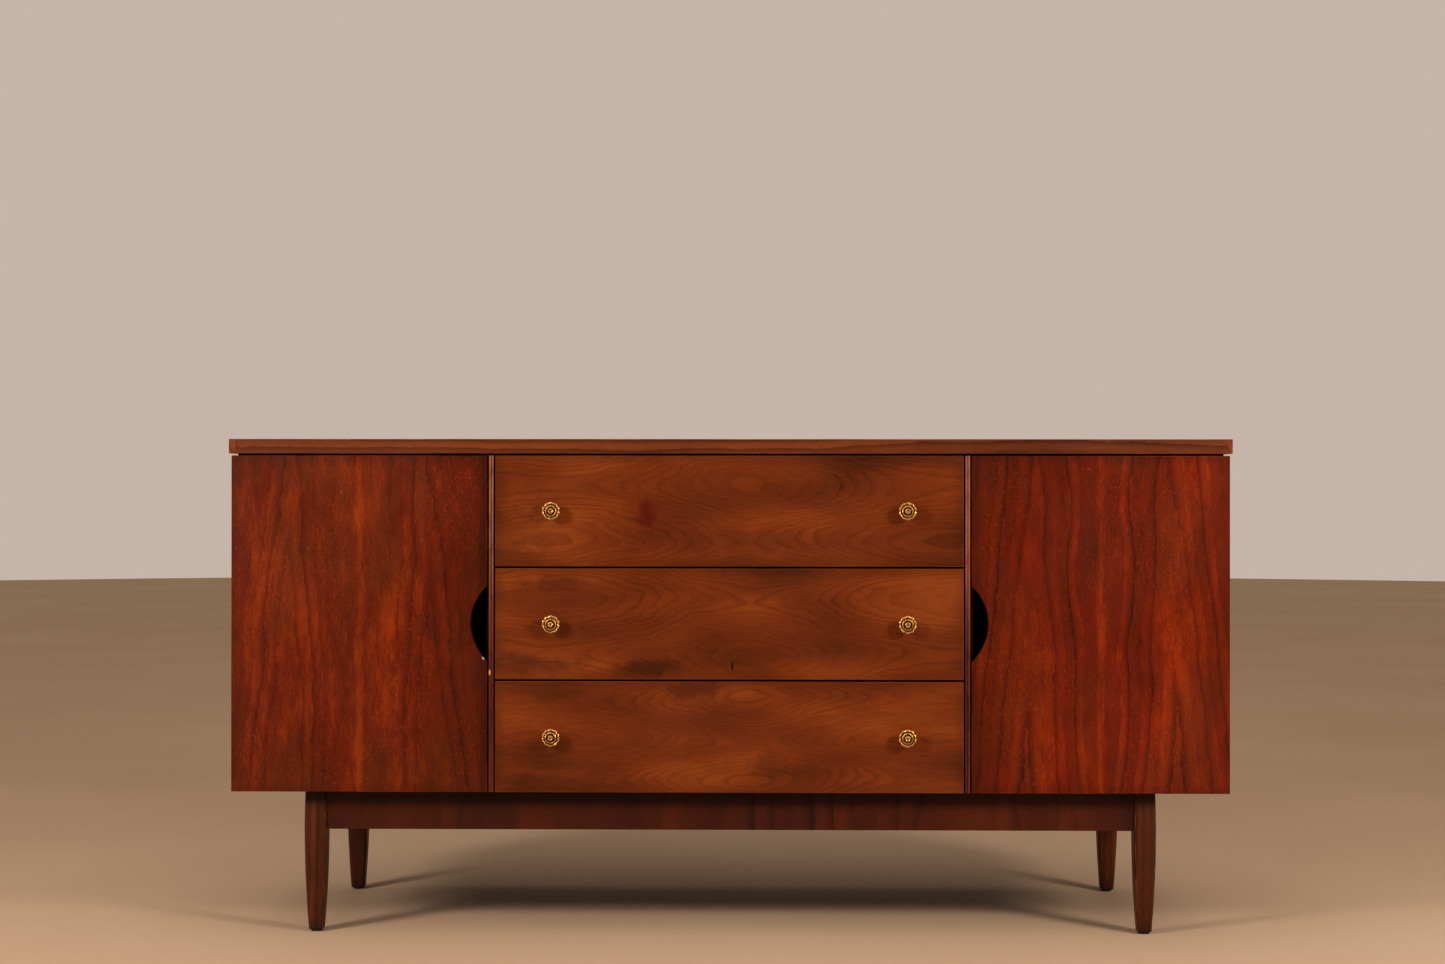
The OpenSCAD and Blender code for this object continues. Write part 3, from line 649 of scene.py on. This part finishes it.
def painted_case_shadow(b, colour):
    """Painted shadow: darker towards the case, where the case above shades the aprons and the
    tops of the legs.
    """
    z = b.parts(b.place())[2]
    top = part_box("front_apron")[1].z
    return b.mix(b.remap(z, top - 0.040, top, 0.0, 0.62), colour, rgb(14, 5, 2))


# The aprons carry the case's painted shadow along their tops.
dress(
    timber("apron_walnut", "Z", field=straight(0.035), seed=41.0, rough=0.5, coat=0.1,
           ring_depth=0.3, dark=rgb(34, 10, 3), mid=rgb(74, 28, 9), light=rgb(102, 46, 17),
           colour_layer=painted_case_shadow),
    "front_apron", "rear_apron", "side_aprons",
)


def leg_wear_and_painted_light(b, colour):
    """Paler corners down the four legs, partly rubbed wear and partly a painted highlight; grime
    towards the feet; and the case's painted shadow at the top.
    """
    x, y, z = b.parts(b.place())
    low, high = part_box("front_right_leg")
    _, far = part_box("rear_right_leg")
    centre_x, middle_y = (low.x + high.x) / 2, (low.y + far.y) / 2
    half_y = middle_y - (low.y + high.y) / 2
    off_x = b.calc("ABSOLUTE", b.calc("SUBTRACT", b.calc("ABSOLUTE", x), centre_x))
    off_y = b.calc("ABSOLUTE", b.calc("SUBTRACT", b.calc(
        "ABSOLUTE", b.calc("SUBTRACT", y, middle_y)), half_y))
    corner = b.remap(b.calc("ABSOLUTE", b.calc("SUBTRACT", off_x, off_y)), 0.0, 0.0016, 1.0, 0.0)
    patchy = b.remap(b.noise(b.point(x, y, b.scaled(z, 0.25)), scale=150, detail=3), 0.45, 0.6)
    # Paler corners: rubbed wear, and a painted highlight along the rounded arrises.
    colour = b.mix(b.scaled(b.calc("MULTIPLY", corner, patchy), 0.55), colour, rgb(150, 96, 60))
    grime = b.remap(z, 0.0, 0.03, 0.5, 0.0)
    # Adds the case's painted shadow at the tops of the legs.
    return painted_case_shadow(b, b.mix(grime, colour, rgb(20, 12, 8)))


leg_finish = timber("leg_walnut_shaped", "Z", field=straight(0.011), seed=47.0, rough=0.46,
                    coat=0.12, colour_layer=leg_wear_and_painted_light, **leg_tones)

case_tones = dict(dark=rgb(40, 20, 11), mid=rgb(88, 50, 28), light=rgb(122, 76, 44))


def black_front(b, colour):
    """The case's front edges are stained black, so that the gaps look deep."""
    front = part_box("case_bottom")[0].y
    y = b.parts(b.place())[1]
    return b.mix(b.remap(y, front + 0.0006, front + 0.0012, 0.95, 0.0), colour, NO_COLOUR)


dress(
    timber("case_timber", "Z", field=straight(0.02), seed=51.0, rough=0.55, coat=0.05,
           colour_layer=black_front, **case_tones),
    "left_partition", "right_partition",
)
dress(
    timber("case_boards", "X", field=straight(0.02), seed=57.0, rough=0.55, coat=0.05,
           colour_layer=black_front, dust=0.15, **case_tones),
    "case_bottom", "front_top_rail", "rear_top_rail", "left_shelf", "right_shelf",
)
dress(
    timber("spacer_black", "X", field=straight(0.02), seed=59.0, rough=0.75, coat=0.0,
           dark=rgb(4, 3, 3), mid=rgb(9, 7, 6), light=rgb(15, 12, 10)),
    "reveal_spacer",
)

oak_tones = dict(dark=rgb(128, 88, 48), mid=rgb(186, 142, 90), light=rgb(214, 176, 124))
dress(
    timber("oak_cross", "X", field=straight(0.012), seed=61.0, rough=0.62, coat=0.0,
           **oak_tones),
    "corner_blocks", *(row + "_drawer_ends" for row in ROWS),
)
dress(
    timber("oak_rails", "X", field=straight(0.012), seed=63.0, rough=0.62, coat=0.0,
           colour_layer=black_front, **oak_tones),
    "drawer_rails",
)
dress(
    timber("oak_length", "Y", field=straight(0.012), seed=67.0, rough=0.62, coat=0.0,
           **oak_tones),
    "drawer_bearers", "drawer_guides",
    *(row + part for row in ROWS for part in ("_drawer_sides", "_drawer_runners")),
)


def hardboard():
    """Brown pressed sheet, with pale and dark fibres."""
    material, b, shader = finish("hardboard_sheet")
    place = b.place()
    fluff = b.noise(place, scale=520, detail=4, roughness=0.7)
    cloud = b.noise(place, scale=9, detail=3)
    chips_mask = b.remap(b.noise(place, scale=260, detail=1), 0.62, 0.72)
    colour = b.ramp(b.total(b.scaled(fluff, 0.7), b.scaled(cloud, 0.5, -0.1)),
                    (0.2, rgb(62, 38, 22)), (0.85, rgb(128, 88, 54)), (0.5, rgb(96, 62, 37)))
    colour = b.mix(b.scaled(chips_mask, 0.3), colour, rgb(46, 28, 16))
    settled = b.group(settled_dust, Amount=0.2).outputs[0]
    b.feed(shader.inputs["Base Color"], b.mix(settled, colour, rgb(170, 158, 142)))
    b.feed(shader.inputs["Roughness"], b.scaled(fluff, 0.25, 0.5))
    bump(b, shader, b.total(fluff, b.scaled(chips_mask, -0.4)), 0.4, 0.0003)
    return material


dress(hardboard(), "back_panel", *(row + "_drawer_bottom" for row in ROWS))


def aged_metal(name, bright, worn, grime, reach, amount, rough):
    """Plated or solid metal, dull in its hollows."""
    material, b, shader = finish(name)
    aged = b.group(tarnish, Reach=reach, Amount=amount)
    patina, blotch = aged.outputs
    colour = b.mix(blotch, bright, worn)
    colour = b.mix(patina, colour, grime)
    b.feed(shader.inputs["Base Color"], colour)
    b.feed(shader.inputs["Metallic"], b.scaled(patina, -0.55, 1.0))
    rub = b.noise(b.place(), scale=700, detail=3)
    b.feed(shader.inputs["Roughness"],
           b.total(b.scaled(patina, 0.35, rough), b.scaled(rub, 0.16, -0.08)))
    bump(b, shader, b.total(rub, b.scaled(patina, 0.5)), 0.25, 0.00012)
    return material


knob_brass = aged_metal("knob_brass", rgb(236, 190, 122), rgb(190, 138, 78), rgb(60, 31, 13),
                        0.0022, 0.95, 0.27)
hinge_brass = aged_metal("hinge_brass", rgb(214, 168, 96), rgb(160, 116, 60), rgb(62, 42, 24),
                         0.003, 0.8, 0.34)
zinc = aged_metal("zinc_plate", rgb(176, 172, 164), rgb(136, 130, 120), rgb(66, 56, 46),
                  0.003, 0.8, 0.38)
dress(hinge_brass, "case_hinge_leaves", "hinge_pins", "shelf_pins",
      *(side + "_door_" + part for side in SIDES for part in ("hinge_leaves", "screws")))
dress(knob_brass, *(row + "_drawer_knobs" for row in ROWS))
dress(zinc, "back_panel_screws", "case_screws",
      *(side + "_door_strike" for side in SIDES))


def moulded(name, base, scuffed, rough):
    """Scuffed plastic with a fine moulded grain."""
    material, b, shader = finish(name)
    grainy = b.noise(b.place(), scale=1400, detail=3, roughness=0.6)
    cloud = b.noise(b.place(), scale=60, detail=3)
    film = b.group(lacquer_film, Base=rough, Smear=30.0)
    colour = b.mix(b.scaled(b.remap(cloud, 0.4, 0.7), 0.45), base, scuffed)
    colour = b.mix(b.scaled(film.outputs["Scratch"], 0.4), colour, scuffed)
    b.feed(shader.inputs["Base Color"], colour)
    b.feed(shader.inputs["Roughness"], film.outputs["Roughness"])
    bump(b, shader, grainy, 0.3, 0.0001)
    return material


dress(moulded("catch_brown", rgb(62, 38, 22), rgb(104, 74, 48), 0.45), "door_catches")
dress(moulded("glide_black", rgb(24, 21, 19), rgb(84, 76, 68), 0.5), "foot_glides")


# ---- Arrises ----

WELD_REACH = 0.002 * MM
FLAT_ANGLE, ARRIS_ANGLE = math.radians(0.5), math.radians(40)


def ease(name, width):
    """Joins a packed board's faces and takes its sharp arrises off."""
    board = nodes[name]
    weld = board.modifiers.new("join", "WELD")
    weld.merge_threshold = WELD_REACH
    flat = board.modifiers.new("flatten", "DECIMATE")
    flat.decimate_type = "DISSOLVE"
    flat.angle_limit = FLAT_ANGLE
    arris = board.modifiers.new("arris", "BEVEL")
    arris.width = width
    arris.segments = 2
    arris.limit_method = "ANGLE"
    arris.angle_limit = ARRIS_ANGLE
    arris.use_clamp_overlap = False
    arris.harden_normals = True


for name in ("left_door", "right_door", "top_front_edging", "top_side_edgings"):
    ease(name, 0.8 * MM)
for name in (*(row + "_drawer_front" for row in ROWS), "left_end_panel", "right_end_panel",
             "left_shelf", "right_shelf", "front_apron", "rear_apron", "side_aprons"):
    ease(name, 0.6 * MM)


# ---- Shaped pieces ----

def piece(name, mesh_maker, material, body, slot, replaced=(), sharp=38):
    """A piece made in mesh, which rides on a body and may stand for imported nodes."""
    mesh = bpy.data.meshes.new(name)
    bm = bmesh.new()
    mesh_maker(bm)
    bmesh.ops.recalc_face_normals(bm, faces=bm.faces)
    bm.to_mesh(mesh)
    bm.free()
    mesh.shade_smooth()
    mesh.set_sharp_from_angle(angle=math.radians(sharp))
    made = bpy.data.objects.new(name, mesh)
    bpy.context.scene.collection.objects.link(made)
    mesh.materials.append(material)
    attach(made, body)
    if replaced:
        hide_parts(*replaced)


def skin(bm, rings, closed_ends=True):
    """Joins rings of the same number of points into a tube."""
    rows = [[bm.verts.new(p) for p in ring] for ring in rings]
    count = len(rows[0])
    for one, two in zip(rows, rows[1:]):
        for i in range(count):
            j = (i + 1) % count
            bm.faces.new((one[i], one[j], two[j], two[i]))
    if closed_ends:
        bm.faces.new(list(reversed(rows[0])))
        bm.faces.new(rows[-1])
    return rows


# Legs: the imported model's curve, with far finer steps and a rounded foot
LEG_BELLY, LEG_ROUND = 0.73, 0.17
LEG_W, LEG_HEAD_W, LEG_FOOT_W = 34 * MM, 31.5 * MM, 22 * MM
FOOT_DROP, FOOT_INSET = 3 * MM, 2 * MM
FOOT_RINGS, LEG_RINGS = 5, 45


def rounded_square(width, radius, steps=7):
    """A square's outline with its four corners rounded."""
    half = width / 2 - radius
    for cx, cy, start in ((half, half, 0), (-half, half, 90), (-half, -half, 180),
                          (half, -half, 270)):
        for k in range(steps + 1):
            a = math.radians(start + 90 * k / steps)
            yield cx + radius * math.cos(a), cy + radius * math.sin(a)


def leg_maker(node):
    """The mesh of one leg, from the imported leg's place and height."""
    low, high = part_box(node)
    centre = (low + high) / 2
    belly = LEG_BELLY * high.z
    foot = low.z + FOOT_DROP

    def width(z):
        if z > belly:
            return LEG_W - (LEG_W - LEG_HEAD_W) * ((z - belly) / (high.z - belly)) ** 2
        return LEG_W - (LEG_W - LEG_FOOT_W) * ((belly - z) / (belly - foot)) ** 2

    def ring(z, w):
        return [(centre.x + x, centre.y + y, z) for x, y in rounded_square(w, w * LEG_ROUND)]

    def make(bm):
        rings = []
        for k in range(FOOT_RINGS):
            a = math.radians(90 * k / FOOT_RINGS)
            inset = FOOT_INSET * (1 - math.sin(a))
            rings.append(ring(foot - FOOT_DROP * math.cos(a), LEG_FOOT_W - 2 * inset))
        for k in range(LEG_RINGS):
            z = foot + (high.z - foot) * k / (LEG_RINGS - 1)
            rings.append(ring(z, width(z)))
        skin(bm, rings)
    return make


for end in ("front", "rear"):
    for side in SIDES:
        node = f"{end}_{side}_leg"
        dress(leg_finish, node)
        piece(node + "_shaped", leg_maker(node), leg_finish, "case", "leg_walnut", (node,))


# Knobs: a dimpled centre, a plain ring and a lobed rim, with deep grooves between
KNOB_STEPS = (
    # radius, height from the drawer front, depth of the lobes; in millimetres
    (0.0, 0.05, 0), (6.4, 0.05, 0), (6.6, 0.5, 0), (6.2, 1.3, 0), (4.9, 3.0, 0), (4.5, 5.2, 0),
    (4.6, 7.4, 0), (5.8, 9.2, 0), (8.2, 10.6, 0), (11.0, 11.8, 0.3), (12.9, 12.8, 0.7),
    (13.7, 13.7, 1.0), (14.0, 14.6, 1.2), (13.8, 15.5, 1.2), (13.2, 16.3, 1.1),
    (12.3, 16.7, 0.9), (11.4, 16.6, 0.7), (10.6, 15.8, 0.4), (10.1, 14.7, 0.1), (9.8, 14.4, 0),
    (9.4, 14.8, 0), (9.1, 16.4, 0.05), (8.7, 17.7, 0.15), (8.1, 18.4, 0.2), (7.4, 18.5, 0.2),
    (6.8, 18.0, 0.15), (6.3, 16.9, 0.05), (5.9, 15.9, 0), (5.5, 15.8, 0), (5.1, 16.6, 0),
    (4.7, 19.0, 0), (4.2, 20.7, 0), (3.5, 21.7, 0), (2.8, 21.95, 0), (2.1, 21.5, 0),
    (1.6, 20.4, 0), (1.3, 19.6, 0), (0.9, 19.4, 0), (0.45, 19.3, 0), (0.0, 19.3, 0),
)
RIM_LOBES, RING_LOBES, KNOB_SPOKES = 10, 20, 180
RIM_INNER = 9.9


def knob_rings(bm, x, front_y, z):
    """One rosette knob, with its back on the drawer front."""
    rows = []
    for radius, height, depth in KNOB_STEPS:
        lobes = RIM_LOBES if radius > RIM_INNER else RING_LOBES
        ring = []
        for k in range(KNOB_SPOKES):
            a = 2 * math.pi * k / KNOB_SPOKES
            dip = depth * (1 - abs(math.cos(lobes / 2 * a)) ** 0.55)
            r = max(radius - dip, 0) * MM
            h = (height - 0.75 * dip) * MM
            ring.append((x + r * math.sin(a), front_y - h, z + r * math.cos(a)))
        rows.append(ring)
    made = skin(bm, rows[1:-1], closed_ends=False)
    for row, tip in ((made[0], rows[0][0]), (made[-1], rows[-1][0])):
        hub = bm.verts.new((x, tip[1], z))
        for i in range(KNOB_SPOKES):
            bm.faces.new((row[i], row[(i + 1) % KNOB_SPOKES], hub))


def turned(bm, origin, direction, steps, count=32):
    """A closed round shape: steps are (radius, height) in millimetres along direction."""
    aim = Vector((0, 0, 1)).rotation_difference(Vector(direction)).to_matrix().to_4x4()
    move = Matrix.Translation(Vector(origin)) @ aim
    rings = []
    for radius, height in steps:
        rings.append([
            move @ Vector((radius * MM * math.cos(2 * math.pi * k / count),
                           radius * MM * math.sin(2 * math.pi * k / count), height * MM))
            for k in range(count)
        ])
    skin(bm, rings)


SAME_PLACE = 1e-6
SLOT_LANE = 3
HEAD_LANES = (-1.0, -0.85, -0.6, -0.13, 0.13, 0.6, 0.85, 1.0)
HEAD_SHARES = (-1, -0.75, -0.4, 0, 0.4, 0.75, 1)
HEAD_DROP = 0.4


def distinct(points):
    """The points without those that stand on an earlier one."""
    kept = []
    for p in points:
        if not any((Vector(p) - Vector(q)).length < SAME_PLACE for q in kept):
            kept.append(p)
    return kept


def slotted_head(bm, origin, direction, radius, height, turn):
    """A domed screw head with one straight slot; radius and height are in millimetres."""
    aim = Vector((0, 0, 1)).rotation_difference(Vector(direction)).to_matrix().to_4x4()
    spin = Matrix.Rotation(math.radians(turn), 4, "Z")
    move = Matrix.Translation(Vector(origin)) @ aim @ spin
    slot_depth = min(0.22 * radius, 0.7 * height)

    def outline(lane, share):
        return share * radius * math.sqrt(1 - lane * lane), lane * radius

    def dome(x, y):
        return height * (1 - HEAD_DROP * (x * x + y * y) / (radius * radius))

    def vert(p):
        return bm.verts.new(move @ Vector([c * MM for c in p]))

    def sheet(one, two):
        a, b = [vert(p) for p in one], [vert(p) for p in two]
        for i in range(len(a) - 1):
            bm.faces.new((a[i], a[i + 1], b[i + 1], b[i]))

    grid = [[(x, y, dome(x, y)) for x, y in (outline(lane, share) for share in HEAD_SHARES)]
            for lane in HEAD_LANES]
    for k, (near, far) in enumerate(zip(grid, grid[1:])):
        if k != SLOT_LANE:
            sheet(near, far)
            continue
        level = height - slot_depth - HEAD_DROP * height
        near_floor, far_floor = ([(x, y, level) for x, y, _ in side] for side in (near, far))
        sheet(near, near_floor)
        sheet(near_floor, far_floor)
        sheet(far_floor, far)
    rim = [outline(lane, 1) for lane in HEAD_LANES]
    rim += [outline(lane, -1) for lane in reversed(HEAD_LANES)]
    base = [(x, y, 0.0) for x, y in rim]
    for i, (x, y) in enumerate(rim):
        far_x, far_y = rim[(i + 1) % len(rim)]
        if math.hypot(far_x - x, far_y - y) > SAME_PLACE:
            edge = ((x, y, 0.0), (far_x, far_y, 0.0), (far_x, far_y, dome(far_x, far_y)),
                    (x, y, dome(x, y)))
            bm.faces.new([vert(p) for p in edge])
    bm.faces.new([vert(p) for p in distinct(base)])
    bmesh.ops.remove_doubles(bm, verts=bm.verts, dist=1e-7)


def loose_parts(node):
    """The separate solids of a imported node, as lists of points."""
    bm = bmesh.new()
    bm.from_mesh(nodes[node].data)
    bmesh.ops.remove_doubles(bm, verts=bm.verts, dist=WELD_REACH)
    seen = set()
    for start in bm.verts:
        if start in seen:
            continue
        seen.add(start)
        waiting, points = [start], []
        while waiting:
            vert = waiting.pop()
            points.append(vert.co.copy())
            for edge in vert.link_edges:
                other = edge.other_vert(vert)
                if other not in seen:
                    seen.add(other)
                    waiting.append(other)
        yield points
    bm.free()


THINNEST_HEAD, POINT_LENGTH, SHANK_SIDES = 0.35, 2, 16


def turned_screw(bm, points, turn):
    """Makes one packed screw again, with a slot across its head."""
    low = Vector([min(p[i] for p in points) for i in range(3)])
    high = Vector([max(p[i] for p in points) for i in range(3)])
    centre, size = (low + high) / 2, high - low
    axis = max(range(3), key=lambda i: size[i])

    def radial(p):
        return math.hypot(*(p[i] - centre[i] for i in range(3) if i != axis))

    radius = max(radial(p) for p in points)
    rim = [p[axis] for p in points if radial(p) > 0.97 * radius]
    side = 1 if sum(rim) / len(rim) > centre[axis] else -1
    end = high[axis] if side > 0 else low[axis]
    far_half = sorted(radial(p) for p in points if (p[axis] - centre[axis]) * side < 0)
    shank = max(far_half[len(far_half) // 2], 0.3 * radius)
    height = max(max(abs(end - c) for c in rim), THINNEST_HEAD * MM)
    outwards = Vector([side if i == axis else 0 for i in range(3)])
    crown = Vector(centre)
    crown[axis] = end
    slotted_head(bm, crown - outwards * height, outwards, radius / MM, height / MM, turn)
    under, long, thick = height / MM, size[axis] / MM, shank / MM
    steps = ((radius / MM * 0.96, under), (thick, under + 0.6), (thick, long - POINT_LENGTH),
             (thick * 0.2, long))
    turned(bm, crown, -outwards, steps, SHANK_SIDES)


for node, body, metal, slot in (
        ("back_panel_screws", "case", zinc, "steel"), ("case_screws", "case", zinc, "steel"),
        ("left_door_screws", "left_door", hinge_brass, "brass"),
        ("right_door_screws", "right_door", hinge_brass, "brass")):
    def screws(bm, node=node):
        for k, points in enumerate(loose_parts(node)):
            turned_screw(bm, points, 25 + 67 * k)

    piece(node + "_slotted", screws, metal, body, slot, (node,), sharp=35)


# Each drawer's two knobs and the screws that hold them from inside
KNOB_RADIUS, KNOB_SCREW_DEPTH = 14 * MM, 8
KNOB_SHANK, KNOB_HEAD_RADIUS, KNOB_HEAD_SEAT, KNOB_HEAD_HEIGHT = 2.0, 4.0, 2.5 * MM, 2.4

for row in ROWS:
    low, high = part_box(row + "_drawer_knobs")
    front_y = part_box(row + "_drawer_front")[0].y
    level = (low.z + high.z) / 2
    reach = (high.x - low.x) / 2 - KNOB_RADIUS
    screw_y = high.y - KNOB_HEAD_SEAT

    def knobs(bm, reach=reach, front=front_y, level=level):
        for x in (-reach, reach):
            knob_rings(bm, x, front, level)

    def knob_screws(bm, reach=reach, front=front_y, level=level, inner=screw_y):
        for x, turn in ((-reach, 24), (reach, 71)):
            slotted_head(bm, (x, inner, level), (0, 1, 0), KNOB_HEAD_RADIUS,
                         KNOB_HEAD_HEIGHT, turn)
            length = (inner - front) / MM + KNOB_SCREW_DEPTH
            turned(bm, (x, front - KNOB_SCREW_DEPTH * MM, level), (0, 1, 0),
                   ((KNOB_SHANK, 0.2), (KNOB_SHANK, length)), SHANK_SIDES)

    body = row + "_drawer"
    piece(row + "_rosette_knobs", knobs, knob_brass, body, "brass",
          (row + "_drawer_knobs",), sharp=60)
    piece(row + "_knob_screws", knob_screws, zinc, body, "steel", sharp=35)


# ---- Studio ----

def studio_floor():
    """A plain pale floor, round and wide enough for any view."""
    material, b, shader = finish("pale_floor")
    tone = b.noise(b.place(), scale=1.3, detail=3)
    fine = b.noise(b.place(), scale=60, detail=3)
    colour = b.ramp(b.total(b.scaled(tone, 0.7), b.scaled(fine, 0.3)),
                    (0.3, rgb(186, 158, 132)), (0.75, rgb(196, 170, 145)))
    b.feed(shader.inputs["Base Color"], colour)
    b.feed(shader.inputs["Roughness"], b.scaled(fine, 0.1, 0.5))
    mesh = bpy.data.meshes.new("studio_floor")
    bm = bmesh.new()
    bmesh.ops.create_circle(bm, cap_ends=True, segments=96, radius=14)
    bm.to_mesh(mesh)
    bm.free()
    mesh.materials.append(material)
    made = bpy.data.objects.new("studio_floor", mesh)
    bpy.context.scene.collection.objects.link(made)


studio_floor()


WARM = (1.0, 0.93, 0.85)


def softbox(name, place, aim, size, power):
    """A soft rectangular light that faces its aim."""
    light = bpy.data.lights.new(name, "AREA")
    light.shape = "RECTANGLE"
    light.size, light.size_y = size
    light.energy = power
    light.color = WARM
    lamp = bpy.data.objects.new(name, light)
    lamp.location = place
    lamp.rotation_euler = (Vector(aim) - Vector(place)).to_track_quat("-Z", "Y").to_euler()
    bpy.context.scene.collection.objects.link(lamp)


softbox("left_softbox", (-2.2, -1.9, 1.55), (-0.3, 0.0, 0.45), (0.6, 0.6), 49)
softbox("right_softbox", (2.2, -1.9, 1.55), (0.3, 0.0, 0.45), (0.6, 0.6), 49)
softbox("rear_softbox", (0.4, 3.2, 2.6), (0.0, 0.2, 0.5), (1.6, 1.0), 2)

overhead = bpy.data.lights.new("overhead_fill", "SUN")
overhead.energy = 1.15
overhead.angle = math.radians(70)
overhead.color = WARM
lamp = bpy.data.objects.new("overhead_fill", overhead)
lamp.rotation_euler = (math.radians(18), 0, 0)
bpy.context.scene.collection.objects.link(lamp)


def studio_world():
    """The camera sees a pale backdrop; the rest of the room gives only a weak fill."""
    world = bpy.data.worlds.new("studio")
    world.use_nodes = True
    b = Bench(world.node_tree)
    sky = next(n for n in world.node_tree.nodes if n.type == "BACKGROUND")
    seen = b.add("ShaderNodeLightPath").outputs["Is Camera Ray"]
    b.feed(sky.inputs["Color"], b.mix(seen, rgb(198, 176, 156), rgb(186, 172, 161)))
    b.feed(sky.inputs["Strength"], b.remap(seen, 0.0, 1.0, 0.22, 1.0, smooth=False))
    bpy.context.scene.world = world


studio_world()
bpy.context.scene.view_settings.view_transform = "Standard"
bpy.context.scene.view_settings.look = "Medium High Contrast"

camera_data = bpy.data.cameras.new("front_camera")
camera_data.sensor_width = 36
camera_data.lens = 56.43
camera = bpy.data.objects.new("front_camera", camera_data)
camera.location = (0.039, -3.656, 0.682)
camera.rotation_euler = (math.radians(90.148), math.radians(-0.041), math.radians(0.819))
bpy.context.scene.collection.objects.link(camera)
bpy.context.scene.camera = camera
